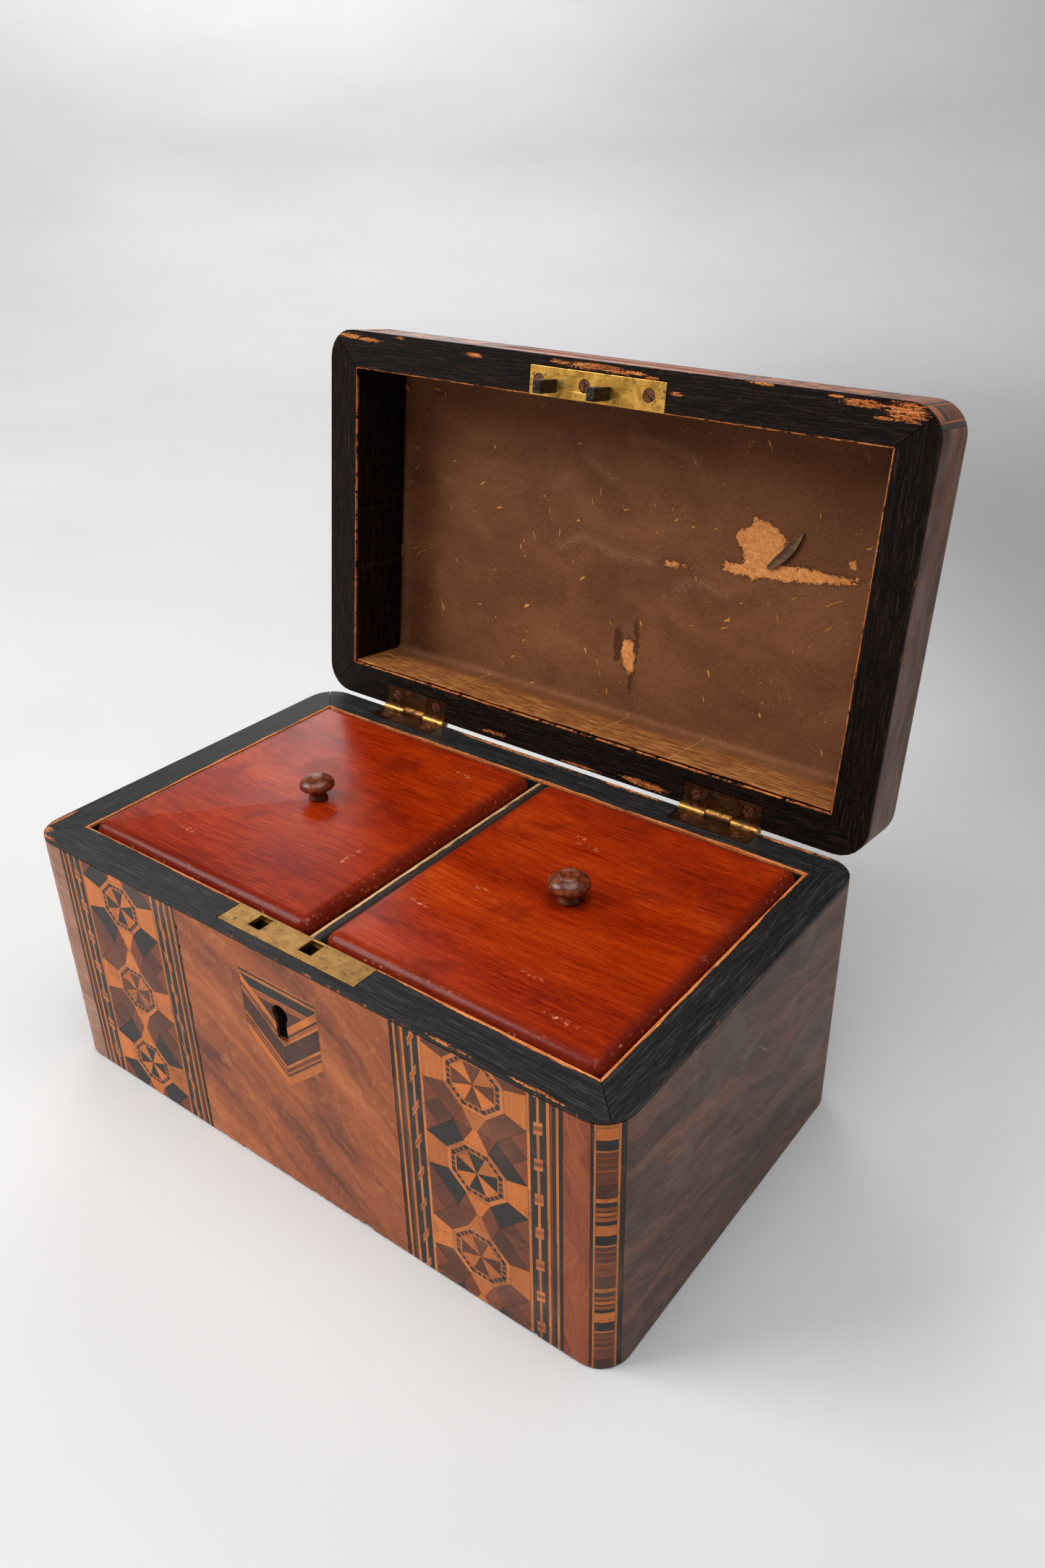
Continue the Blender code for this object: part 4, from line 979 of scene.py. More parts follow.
def octagon_tiles(v0, hx, hy, kind):
    """Light line, chequered chain, light line, then eight sectors."""
    outlines = [octagon(v0, hx, hy, size) for size in RING_SIZES]
    tiles = []
    for k in range(8):
        n = (k + 1) % 8
        for a, b in (outlines[:2], outlines[2:]):
            tiles.append(([a[k], a[n], b[n], b[k]], "light", None, 0.02))
        a, b = outlines[1], outlines[2]
        for j in range(7):
            quad = [between(a[k], a[n], j / 7), between(a[k], a[n], (j + 1) / 7)]
            quad += [between(b[k], b[n], (j + 1) / 7), between(b[k], b[n], j / 7)]
            tiles.append((quad, "amber" if j % 2 else "black", None, 0.02))
        inner = outlines[3]
        middle = between(inner[k], inner[n], 0.5)
        spoke = math.atan2(middle[1] - v0, middle[0])
        wood = "orange" if k % 2 else kind
        tiles.append(([inner[k], inner[n], (0.0, v0)], wood, spoke, 0.03))
    for s in (1, -1):
        flat = OCTAGON * hy
        trapezoid = [(s * hx, v0 - flat), (s * hx, v0 + flat)]
        trapezoid += [(s * FIELD, v0 + WEDGE), (s * FIELD, v0 - WEDGE)]
        tiles.append((trapezoid, "orange", None, 0.04))
    return tiles


def cell_tiles(v0, v1, hx, hy, kind0, kind1):
    """The tiles between two octagons."""
    mid = (v0 + v1) / 2
    top, low = v0 + hy, v1 - hy
    corner, waist, flat = OCTAGON * hx, 0.8, OCTAGON * hy
    tiles = []
    for start in (top, low):
        shape = [(-corner, start), (corner, start), (waist, mid), (-waist, mid)]
        tiles.append((shape, "orange", math.pi / 2, 0.03))
    for s in (1, -1):
        a0, a1, w, d = (s * corner, top), (s * corner, low), (s * waist, mid), (s * 7.0, mid)
        b0, c0 = (s * hx, v0 + flat), (s * FIELD, v0 + WEDGE)
        b1, c1 = (s * hx, v1 - flat), (s * FIELD, v1 - WEDGE)
        m, p0, p1 = (s * FIELD, mid), between(c0, d, 0.5), between(c1, d, 0.5)
        for shape, wood, gap in (
            ([a0, d, w], "red", 0.03),
            ([a1, d, w], "red", 0.03),
            ([a0, b0, c0, d], kind0, 0.04),
            ([a1, b1, c1, d], kind1, 0.04),
            ([d, p0, m], "brown", 0.03),
            ([d, p1, m], "brown", 0.03),
            ([c0, p0, m], "red", 0.03),
            ([c1, p1, m], "red", 0.03),
        ):
            tiles.append((shape, wood, None, gap))
    return tiles


def long_line(u0, u1, v0, v1, wood):
    """A thin stringing line, in lengths that vary."""
    tiles = []
    v = v0
    while v < v1:
        end = min(v1, v + RNG.uniform(14, 46))
        shape = [(u0, v), (u0, end), (u1, end), (u1, v)]
        tiles.append((shape, wood, None, 0.03))
        v = end
    return tiles


def slanted(mid, half, low, high, fall):
    """A bar across mid whose two ends fall away to one side."""
    left, right = mid - half, mid + half
    return [(left, low + fall), (right, low - fall), (right, high - fall), (left, high + fall)]


def string_tiles(s, v0, v1, start):
    """The strings beside the field: lines, a black strip with a chain of lozenges, and more lines."""
    tiles = []
    lines = (
        (0.0, 1.0, "light"),
        (6.0, 7.0, "orange"),
        (7.0, 7.9, "brown"),
        (7.9, 8.8, "black"),
        (8.8, 9.7, "orange"),
        (9.7, BAND_OUT - BAND_CENTRE - FIELD, "burnt"),
    )
    for near, far, wood in lines:
        tiles += long_line(s * (FIELD + near), s * (FIELD + far), v0, v1, wood)
    mid = s * (FIELD + CHAIN_AT)
    half, tall, line, edge = 1.4, 2.0, 0.42, 2.5
    shear = 0.5
    if s < 0:
        half, tall, shear = 1.25, 1.5, 2.3
    v = v0 - CHAIN_PITCH + start
    while v < v1 + CHAIN_PITCH:
        for k, wood in enumerate(("light", "amber", "light")):
            a = -tall + k * 2 * tall / 3
            b = -tall + (k + 1) * 2 * tall / 3
            tiles.append((slanted(mid, half, v + a, v + b, shear), wood, None, 0.01))
        lean = shear * line / half
        after, before = v + tall, v + CHAIN_PITCH - tall
        tiles.append((slanted(mid, line, after, before, lean), "light", math.pi / 2, 0.0))
        for side in (1, -1):
            tilt = -side * shear
            inner_tilt = -side * lean
            dark = [
                (mid + side * line, after + inner_tilt),
                (mid + side * half, after + tilt),
                (mid + side * half, before + tilt),
                (mid + side * line, before + inner_tilt),
            ]
            tiles.append((dark, "black", math.pi / 2, 0.0))
            rail = [
                (mid + side * half, v - tall),
                (mid + side * half, v - tall + CHAIN_PITCH),
                (mid + side * edge, v - tall + CHAIN_PITCH),
                (mid + side * edge, v - tall),
            ]
            tiles.append((rail, "black", math.pi / 2, 0.0))
        v += CHAIN_PITCH
    return tiles


def band_tiles(side, centres, hx, hy, first_dark, v0, v1, start):
    """A whole upright band, as (polygon, wood, grain angle, gap)."""
    tiles = []
    kinds = ["black" if (k % 2 == 0) == first_dark else "brown" for k in range(len(centres))]
    for centre, kind in zip(centres, kinds):
        tiles += octagon_tiles(centre, hx, hy, kind)
    for k in range(len(centres) - 1):
        tiles += cell_tiles(centres[k], centres[k + 1], hx, hy, kinds[k], kinds[k + 1])
    for s in (1, -1):
        tiles += string_tiles(s, v0, v1, start + (0 if s > 0 else 4.0))
    placed = []
    for poly, wood, angle, gap in tiles:
        moved = [(side * (BAND_CENTRE + u), v) for u, v in poly]
        if angle is not None and side < 0:
            angle = math.pi - angle
        placed.append((moved, wood, angle, gap))
    return placed


def banding_tiles(side, v0, v1):
    """The upright banding round a front corner: lines, a row of bars, lines."""
    tiles = []
    wide = BANDING_OUT - BANDING_IN
    inner, outer = 1.3, wide - 2.15
    rows = (
        (3.7, "orange"),
        (3.3, "black"),
        (0.6, "light"),
        (1.6, "brown"),
        (0.45, "amber"),
        (1.6, "brown"),
        (0.45, "amber"),
        (1.6, "brown"),
        (0.6, "amber"),
        (4.4, "red"),
        (4.4, "rosewood"),
        (1.5, "orange"),
        (1.5, "black"),
        (1.3, "amber"),
        (0.5, "brown"),
        (1.2, "orange"),
        (0.5, "brown"),
        (1.4, "amber"),
        (1.3, "black"),
    )
    for near, far, wood in (
        (0.0, 0.7, "black"),
        (0.7, inner, "light"),
        (outer, wide - 1.4, "light"),
        (wide - 1.4, wide, "burnt"),
    ):
        tiles += long_line(near, far, v0, v1, wood)
    v = v0 + 1.2
    tiles.append((rectangle(inner, outer, v0, v), "orange", None, 0.02))
    k = 0
    while v < v1:
        tall, wood = rows[k % len(rows)]
        tiles.append((rectangle(inner, outer, v, v + tall), wood, None, 0.02))
        v += tall
        k += 1
    return [([(side * (BANDING_IN + u), w) for u, w in p], wood, a, g) for p, wood, a, g in tiles]


def shield_tiles():
    """Stripes along the top, then stripes that follow the shield's two lower edges."""
    top = RIM - SHIELD_HIGH[2]
    left, right, x = SHIELD_LOW[0], SHIELD_HIGH[0], SHIELD_X
    foot = RIM - SHIELD_LOW[2]
    slope = (foot - SHOULDER) / (right - x)
    mitre = top + 2.5
    meet = mitre + slope * (right - x)
    tiles = []
    for a, b, wood in ((0.0, 0.75, "light"), (0.75, 1.35, "black"), (1.35, 2.5, "light")):
        tiles.append((rectangle(left, right, top + a, top + b), wood, None, 0.02))
    rows = ((0.0, 3.3, "black"), (3.3, 3.8, "light"), (3.8, 5.7, "amber"), (5.7, 14.0, "rosewood"))
    for a, b, wood in rows:
        row = turned_right(rectangle(left, right, mitre + a, mitre + b))
        for edge, out in ((right, 1), (left, -1)):
            if row:
                row = cut(row, (edge, mitre), (out * slope, 1.0))
        if row:
            tiles.append((row, wood, 0.0, 0.02))
    stripes = (
        (3.0, "orange"),
        (0.7, "black"),
        (1.4, "amber"),
        (0.95, "light"),
        (7.3, "rosewood"),
        (1.1, "light"),
        (1.2, "red"),
        (1.2, "amber"),
        (0.6, "black"),
        (9.0, "orange"),
    )
    for side, edge in ((1, right), (-1, left)):
        v = 0.0
        for tall, wood in stripes:
            end = min(v + tall, SHOULDER - mitre)
            stripe = [(edge, mitre + v), (x, meet + v), (x, meet + end), (edge, mitre + end)]
            tiles.append((stripe, wood, None, 0.02))
            v = end
    return tiles


def keyhole():
    """The keyhole's outline as two convex shapes."""
    centre_v, radius, half, foot = RIM - 68.0, 3.0, 2.2, RIM - 58.7
    round_part = [
        (SHIELD_X + radius * math.cos(a), centre_v + radius * math.sin(a))
        for a in [math.tau * k / 28 for k in range(28)]
    ]
    slot = rectangle(SHIELD_X - half, SHIELD_X + half, centre_v, foot)
    return [turned_right(round_part), turned_right(slot)]


# ---------------------------------------------------------------- base outside

INLAY = marquetry("marquetry_base")
INLAY_LID = marquetry("marquetry_lid", True)
GROUND = ground_walnut("figured_walnut_front")
GROUND_LID = ground_walnut("figured_walnut_lid", True)
STRIP_LEFT = plain_walnut(
    "walnut_strip_left", (108, 68, 50), (156, 104, 80), (188, 140, 114), grey=0.2
)
STRIP_RIGHT = plain_walnut(
    "walnut_strip_right", (88, 32, 10), (140, 60, 22), (172, 90, 38), upright_grain=True, grey=0.04
)
SIDE = plain_walnut("dark_walnut_side", (30, 16, 11), (84, 48, 32), (136, 88, 64), grey=0.24)
SIDE_LID = plain_walnut(
    "dark_walnut_lid", (30, 16, 11), (84, 48, 32), (136, 88, 64), True, grey=0.24
)

V0, V1 = BASE_VENEER_TOP, BASE_VENEER_FOOT
LINES = corner_lines()


def make_band(side, centres, size, first_dark, start):
    """One of the base's two bands, over its glue bed and chipped at its foot."""
    name = "right" if side > 0 else "left"
    sheet = Sheet(base_skin, LINES)
    t0, t1 = sorted((side * BAND_IN, side * BAND_OUT))
    sheet.bed(t0, t1, V0, V1 - 0.3)
    tiles = band_tiles(side, centres, *size, first_dark, V0 - 20, V1 + 20, start)
    sheet.lay(tiles, V0, V1, foot_chips)
    piece = f"marquetry_{name}"
    sheet.build(piece, INLAY, "base", [f"marquetry_band_{name}"])


# octagons: their centres below the rim, and half their size across and along the band
make_band(1, (-22.1, 8.4, 38.9, 70.1, 101.0), (9.9, 9.4), True, 6.0)
make_band(-1, (-19.6, 12.5, 44.6, 75.1, 106.5), (9.1, 9.0), False, 3.0)

for side, name in ((1, "right"), (-1, "left")):
    sheet = Sheet(base_skin, LINES)
    t0, t1 = sorted((side * BANDING_IN, side * BANDING_OUT))
    sheet.bed(t0, t1, V0, V1 - 0.3)
    sheet.lay(banding_tiles(side, V0, V1 + 5), V0, V1, foot_chips)
    sheet.build(f"corner_inlay_{name}", INLAY, "base", [f"corner_banding_{name}"])

sheet = Sheet(base_skin)
KEYHOLE = keyhole()
sheet.lay(shield_tiles(), V0, V1, None, KEYHOLE)
sheet.build("shield", INLAY, "base", ["shield_inlay"])


def ragged_panel(corners, chips):
    """An outline, anticlockwise in (t, v), whose sides in chips are chipped by that much."""
    points = []
    for k, (a, b) in enumerate(around(corners)):
        points += wander(a, b, chips[k]) if k in chips else [a]
    return points


def front_ground():
    """The two halves of the figured ground, meeting above and below the shield."""
    left, right, x = SHIELD_LOW[0], SHIELD_HIGH[0], SHIELD_X
    top, foot = RIM - SHIELD_HIGH[2], RIM - SHIELD_LOW[2]
    sheet = Sheet(base_skin)
    backing = [turned_right(rectangle(-BAND_IN, BAND_IN, V0, V1 - 0.3))]
    for shape in KEYHOLE:
        backing = [part for piece in backing for part in without(piece, shape)]
    for piece in backing:
        sheet.tile(piece, "bed", 0.0, 0.0, 0.6, 0.25)
    edge = BAND_IN - 0.15
    right_half = [(x, V0), (edge, V0), (edge, V1), (x, V1)]
    right_half += [(x, foot), (right, SHOULDER), (right, top), (x, top)]
    left_half = [(x, V1), (-edge, V1), (-edge, V0), (x, V0)]
    left_half += [(x, top), (left, top), (left, SHOULDER), (x, foot)]
    at_foot, at_band = 0.75, 0.28
    for corners, chips in (
        (right_half, {1: at_band, 2: at_foot}),
        (left_half, {0: at_foot, 1: at_band}),
    ):
        outline = ragged_panel(corners, chips)
        sheet.tile(outline, "amber", 0.0, 0.0, 0.02, convex=False)
    sheet.build("front_ground", GROUND, "base", ["veneer_front"])


front_ground()

for side, name, look in ((1, "right", STRIP_RIGHT), (-1, "left", STRIP_LEFT)):
    sheet = Sheet(base_skin, LINES)
    a, b = BAND_OUT + 0.1, BANDING_IN - 0.05
    t0, t1 = sorted((side * a, side * b))
    flat0, flat1 = sorted((side * a, side * FLAT_W))
    bend0, bend1 = sorted((side * FLAT_W, side * b))
    sheet.bed(t0, t1, V0, V1 - 0.3, 0.6)
    panel = ragged_panel(rectangle(flat0, flat1, V0, V1), {2: 0.55})
    sheet.tile(panel, "amber", 0.0, 0.0, 0.02, convex=False)
    sheet.tile(rectangle(bend0, bend1, V0, V1 - 0.2), "amber", 0.0, 0.0, 0.02)
    sheet.build(f"front_strip_{name}", look, "base", [f"veneer_front_{name}"])


def skin_piece(name, t0, t1, look, replaced, on_lid):
    """A smooth veneer over a stretch of the case, with its edges turned in and its foot chipped."""
    v0, v1 = (W0, W1) if on_lid else (V0, V1)
    skin = lid_skin if on_lid else base_skin
    near, deep = 0.02, 0.7
    step, curved_step = 2.0, 0.9
    ts = [t0]
    marks = [FLAT_W, FLAT_W + ARC, FLAT_W + ARC + 2 * FLAT_D, FLAT_W + 2 * ARC + 2 * FLAT_D]
    marks += [AROUND - mark for mark in marks[::-1]]
    t = t0
    while t < t1 - 1e-6:
        curved = any(a - 1e-6 <= t < b - 1e-6 for a, b in zip(marks[::2], marks[1::2]))
        t = min([t + (curved_step if curved else step), t1] + [m for m in marks if m > t + 1e-6])
        ts.append(t)
    vs = [v0 + (v1 - v0) * k / 40 for k in range(41)]
    if on_lid:
        vs += [v for v in over_edge() if v0 < v < v1]
        vs = sorted(set(round(v, 4) for v in vs))
    found, points, faces = {}, [], []

    def point(t, v, depth):
        place = tuple(round(c, 5) for c in skin(t, v, depth))
        if place not in found:
            found[place] = len(points)
            points.append(place)
        return found[place]

    def quad(*corners):
        indices = []
        for corner in corners:
            index = point(*corner)
            if index not in indices:
                indices.append(index)
        if len(indices) > 2:
            faces.append(indices)

    def row(t, v):
        if on_lid or v < v1 - 1e-6:
            return v
        return v1 - foot_chips(t * 1.3 + 50)

    for ta, tb in zip(ts, ts[1:]):
        for va, vb in zip(vs, vs[1:]):
            low_a, low_b = row(ta, vb), row(tb, vb)
            corners = [(ta, va, near), (ta, low_a, near), (tb, low_b, near), (tb, va, near)]
            quad(*(corners[::-1] if on_lid else corners))
        for v, sign in ((v0, 1), (v1, -1)):
            a, b = row(ta, v), row(tb, v)
            corners = [(ta, a, near), (tb, b, near), (tb, b, deep), (ta, a, deep)]
            quad(*(corners if (sign > 0) != on_lid else corners[::-1]))
    for t, sign in ((t0, 1), (t1, -1)):
        for va, vb in zip(vs, vs[1:]):
            low = row(t, vb)
            corners = [(t, va, near), (t, va, deep), (t, low, deep), (t, low, near)]
            quad(*(corners if (sign > 0) != on_lid else corners[::-1]))
    mesh = mesh_of(name, points, faces)
    body = "lid" if on_lid else "base"
    piece = settle(name, mesh, look, body, [replaced], on_lid)
    piece.modifiers.new("edges", "EDGE_SPLIT").split_angle = SHARP


BACK_A = FLAT_W + ARC + 2 * FLAT_D + ARC / 2
SEAM = 0.06
STRETCHES = (
    ("side_veneer_right", "lid_side_right", "veneer_right", BANDING_OUT, BACK_A),
    ("back_veneer", "lid_back", "veneer_back", BACK_A, AROUND - BACK_A),
    ("side_veneer_left", "lid_side_left", "veneer_left", AROUND - BACK_A, AROUND - BANDING_OUT),
)
for name, _, replaced, t0, t1 in STRETCHES:
    skin_piece(name, t0 + SEAM, t1 - SEAM, SIDE, replaced, False)

# ---------------------------------------------------------------- lid outside

W0, W1 = LID_VENEER_FOOT, LID_OVER
TOP_END = LID_OVER + 2 * FLAT_D - 0.3
for _, name, replaced, t0, t1 in STRETCHES:
    skin_piece(name, t0 + SEAM, t1 - SEAM, SIDE_LID, f"lid_{replaced}", True)


def lid_band(side, name):
    """The marquetry carried on over the lid's front edge and across its top."""
    sheet = Sheet(lid_skin, lid_lines())
    t0, t1 = sorted((side * BAND_IN, side * BAND_OUT))
    sheet.bed(t0, t1, W0, TOP_END)
    centres = [12.0 + 31.0 * k for k in range(-1, 6)]
    tiles = band_tiles(side, centres, 9.4, 8.8, side > 0, W0 - 20, TOP_END + 20, 5.0)
    sheet.lay(tiles, W0, TOP_END)
    sheet.build(f"lid_marquetry_{name}", INLAY_LID, "lid", on_lid=True)


lid_band(1, "right")
lid_band(-1, "left")


def lid_panels():
    """The walnut ground between and outside the bands, over the front and the top."""
    sheet = Sheet(lid_skin, lid_lines())
    sheet.bed(-FLAT_W, FLAT_W, W0, TOP_END, 0.6)
    gap = 0.12
    middle, right = (-BAND_IN + gap, BAND_IN - gap), (BAND_OUT + gap, FLAT_W)
    for a, b in (middle, right, (-right[1], -right[0])):
        sheet.tile(rectangle(a, b, W0, TOP_END), "amber", 0.0, 0.0, 0.02)
    for a, b in ((FLAT_W, BANDING_IN - 0.05), (0.05 - BANDING_IN, -FLAT_W)):
        sheet.tile(rectangle(a, b, W0, W1), "amber", 0.0, 0.0, 0.02)
    replaced = ["lid_veneer_front", "lid_veneer_top"]
    sheet.build("lid_ground", GROUND_LID, "lid", replaced, True)


lid_panels()

for side, name in ((1, "right"), (-1, "left")):
    sheet = Sheet(lid_skin, lid_lines())
    t0, t1 = sorted((side * BANDING_IN, side * BANDING_OUT))
    sheet.bed(t0, t1, W0, W1 - 0.2)
    sheet.lay(banding_tiles(side, W0, W1), W0, W1 - 0.2)
    sheet.build(f"lid_corner_inlay_{name}", INLAY_LID, "lid", on_lid=True)

# ---------------------------------------------------------------- inner lids, knobs, divider

# scuffs, as (x and y from the lid's middle, half length, half width)
SCUFFS_LEFT = ((30.0, 40.0, 4.0, 1.0), (-20.0, -38.0, 5.0, 0.8), (34.0, -20.0, 0.8, 5.0))
SCUFFS_RIGHT = (
    (-11.0, 27.0, 5.0, 1.0), (-16.0, 30.0, 2.4, 0.7), (-24.0, -10.0, 3.0, 0.8), (-34.0, -26.0, 5.0, 0.9),
    (12.0, -34.0, 4.0, 0.7), (30.0, -44.0, 6.0, 1.0),
)


def rounded_slab(name, node, edge, look):
    """A slab in its CAD node's box with a smoothly rounded top edge and corners."""
    low, high = box(node)
    steps = 8

    def loop(inset, z):
        points = []
        reach = max(edge - inset, 0.0)
        for k, (sx, sy) in enumerate(((1, -1), (1, 1), (-1, 1), (-1, -1))):
            cx = high[0] - edge if sx > 0 else low[0] + edge
            cy = high[1] - edge if sy > 0 else low[1] + edge
            for j in range(steps + 1):
                a = math.radians(90 * (k - 1) + 90 * j / steps)
                points.append((cx + reach * math.cos(a), cy + reach * math.sin(a), z))
        return points

    loops = [loop(0.5, low[2]), loop(0.0, low[2] + 0.5)]
    for k in range(steps + 1):
        a = math.radians(90 * k / steps)
        loops.append(loop(edge * (1 - math.cos(a)), high[2] - edge + edge * math.sin(a)))
    count = len(loops[0])
    points = [p for ring_points in loops for p in ring_points]
    faces = [list(range(count))[::-1]]
    faces += [[a, d, c, b] for a, b, c, d in grid_faces(len(loops), count)]
    last = (len(loops) - 1) * count
    faces.append([last + k for k in range(count)])
    mesh = mesh_of(name, points, faces, [k > 0 for k in range(len(faces))])
    mesh.validate()
    settle(name, mesh, look, node, [node])


def knob(node, scale, ringed, look, body):
    """A mushroom knob turned from a profile, on its dowel."""
    low, high = box(node)
    cx, cy, top = (low[0] + high[0]) / 2, (low[1] + high[1]) / 2, high[2]
    face = top - 9.2 * scale
    turns = [math.radians(a) for a in range(84, -1, -6)]
    profile = [(0.0, 9.2)] + [(6.4 * math.cos(a), 5.7 + 3.5 * math.sin(a) ** 0.9) for a in turns]
    if ringed:
        bead = [(0.0, 9.0), (1.3, 8.95), (2.0, 8.75), (2.35, 8.85)]
        bead += [(2.7, 9.2), (3.1, 9.15), (3.4, 8.7)]
        profile = bead + [p for p in profile if p[0] > 3.7]
    profile += [(6.35, 5.3), (6.1, 4.95), (5.6, 4.6), (4.6, 4.15), (3.5, 3.85), (3.0, 3.5), (2.8, 2.9)]
    profile += [(2.8, 1.9), (2.95, 1.5), (3.3, 1.1), (3.5, 0.7), (3.5, 0.35), (3.4, 0.16)]
    shaped = [(r * scale, face + z * scale) for r, z in profile]
    shaped += [(1.8, face + 0.15), (1.8, low[2] + 0.3), (1.5, low[2]), (0.0, low[2])]
    sides_round = 64
    points, faces, rings_of = [], [], []
    for r, z in shaped:
        if r == 0:
            rings_of.append([len(points)])
            points.append((cx, cy, z))
            continue
        rings_of.append(list(range(len(points), len(points) + sides_round)))
        for k in range(sides_round):
            a = math.tau * k / sides_round
            points.append((cx + r * math.cos(a), cy + r * math.sin(a), z))
    for upper, lower in zip(rings_of, rings_of[1:]):
        for k in range(sides_round):
            n = (k + 1) % sides_round
            if len(upper) == 1:
                faces.append([upper[0], lower[k], lower[n]])
            elif len(lower) == 1:
                faces.append([upper[k], lower[0], upper[n]])
            else:
                faces.append([upper[k], lower[k], lower[n], upper[n]])
    name = f"lid_{node}"
    settle(name, mesh_of(name, points, faces), look, body, [node])


for side, scuffs in (("left", SCUFFS_LEFT), ("right", SCUFFS_RIGHT)):
    node = f"inner_lid_{side}"
    rounded_slab(f"tea_lid_{side}", node, 3.9, mahogany(f"mahogany_{side}", node, scuffs))
KNOB_WOOD = turned_wood("turned_rosewood")
knob("knob_left", 0.90, False, KNOB_WOOD, "inner_lid_left")
knob("knob_right", 1.00, True, KNOB_WOOD, "inner_lid_right")


def divider_wood():
    """Black stained wood whose rounded top is rubbed through to yellow on one side."""
    s = Shade("divider_wood")
    x, y, z = s.xyz()
    low, high = box("divider")
    middle = (low[0] + high[0]) / 2
    fibres = s.streaks((x, 1.8), (y, 0.08), (z, 1.8), 4.0, 0.68)
    jag = s.streaks((x, 0.9), (y, 0.16), 2.0, 5.0, 0.75)
    colour = s.steps(fibres, (0.36, (16, 12, 10)), (0.54, (36, 28, 24)), (0.70, (66, 50, 40)))
    line = s.less(s.less(x, middle), s.swing(jag, 3.2))
    worn = s.times(s.fade(line, -0.5, 0.3, 1.0, 0.0), s.fade(z, high[2] - 1.9, high[2] - 1.0))
    yellow = ((0.38, (150, 104, 62)), (0.55, (206, 164, 112)), (0.7, (228, 196, 150)))
    colour = s.mix(worn, colour, s.steps(fibres, *yellow))
    rough = s.plus(0.4, s.times(fibres, 0.2))
    return s.finish(colour, rough, s.bump(fibres, 0.08, 0.8))


def make_divider_piece():
    """The divider, a board with a half-round top that dips a little where it is worn."""
    low, high = box("divider")
    half = (high[0] - low[0]) / 2
    middle, top = (low[0] + high[0]) / 2, high[2]
    section = [(middle - half, low[2]), (middle + half, low[2])]
    section += [
        (middle + half * math.cos(a), top - half + half * math.sin(a))
        for a in [math.pi * k / 14 for k in range(15)]
    ]
    ys = [low[1] + (high[1] - low[1]) * k / 30 for k in range(31)]
    points, faces = [], []
    for y in ys:
        for x, z in section:
            dent = 0.0
            if z > top - half:
                dent = 0.10 * max(0.0, noise.noise(Vector((x * 0.2, y * 0.12, 0))))
            points.append((x, y, z - dent))
    count = len(section)
    faces += grid_faces(len(ys), count)
    faces.append(list(range(count)))
    faces.append([(len(ys) - 1) * count + k for k in range(count)][::-1])
    mesh = mesh_of("divider_board", points, faces)
    piece = settle("divider_board", mesh, divider_wood(), "base", ["divider"])
    piece.modifiers.new("edges", "EDGE_SPLIT").split_angle = SHARP


make_divider_piece()

# ---------------------------------------------------------------- lid lining

# outlines on the ceiling, in the shut lid's (x, y)
TEARS = (
    [
        (43.8, -17.6), (45.0, -19.4), (48.6, -21.0), (49.2, -24.0), (52.6, -23.4),
        (56.6, -22.6), (61.8, -18.8), (60.6, -15.4), (59.4, -11.0), (56.0, -9.0),
        (54.6, -5.4), (51.0, -4.4), (47.4, -8.6), (46.8, -13.0), (44.2, -15.6),
    ],
    [
        (39.4, -6.4), (41.0, -8.0), (47.5, -9.0), (62.2, -10.8), (70.8, -11.6), (80.7, -11.2),
        (87.9, -11.4), (87.3, -10.4), (78.7, -8.2), (62.9, -6.2), (47.9, -5.0), (41.0, -5.2),
    ],
    [(5.2, 27.0), (7.8, 24.6), (10.6, 30.0), (10.4, 36.7), (8.6, 38.6), (6.4, 35.4), (4.8, 31.0)],
    [(15.5, -3.4), (22.0, -4.6), (29.6, -4.4), (28.0, -3.0), (19.0, -2.6)],
    [(-102.0, 10.8), (-98.8, 11.5), (-98.2, 17.0), (-101.5, 18.0)],
    [(81.4, -16.0), (84.4, -16.8), (86.6, -15.0), (83.6, -14.2)],
    [(-100.5, -48.2), (-97.0, -48.4), (-97.6, -45.8), (-100.6, -46.0)],
    [(-86.6, -48.4), (-83.0, -48.4), (-79.6, -47.6), (-80.2, -46.4), (-84.0, -47.4)],
)
STAINS = (
    [(1.2, 24.0), (3.6, 21.5), (5.4, 26.0), (4.6, 35.0), (1.8, 34.0)],
    [
        (9.0, 17.5), (10.4, 15.0), (11.6, 26.0), (11.2, 36.0),
        (9.8, 46.5), (8.6, 40.0), (10.2, 32.0), (9.6, 24.0),
    ],
)
CREASES = (
    ((-24.0, -0.4), (-15.9, -5.8), (-8.0, -4.6), (-1.2, -1.8), (16.0, -2.7)),
    ((2.0, -42.4), (12.0, -42.6), (20.0, -40.4), (27.0, -38.6)),
    ((25.0, 4.9), (29.0, 2.0), (34.0, 0.9), (43.0, 2.9)),
    ((-15.5, -33.4), (-9.0, -29.6), (-3.9, -27.5)),
    ((-92.0, 54.0), (-70.0, 55.4), (-46.0, 57.4), (-40.0, 57.0)),
    ((20.0, 57.6), (34.0, 58.6), (60.0, 59.6), (86.0, 60.8)),
    ((-97.0, -30.0), (-97.6, -6.0), (-96.6, 24.0), (-97.0, 50.0)),
)


def side_distance(x, y, a, b):
    """Distance from the straight stretch between a and b."""
    dx, dy = b[0] - a[0], b[1] - a[1]
    s = max(0.0, min(1.0, ((x - a[0]) * dx + (y - a[1]) * dy) / (dx * dx + dy * dy)))
    return math.hypot(x - a[0] - s * dx, y - a[1] - s * dy)


def line_distance(x, y, line):
    """Distance from an open line."""
    return min(side_distance(x, y, a, b) for a, b in zip(line, line[1:]))


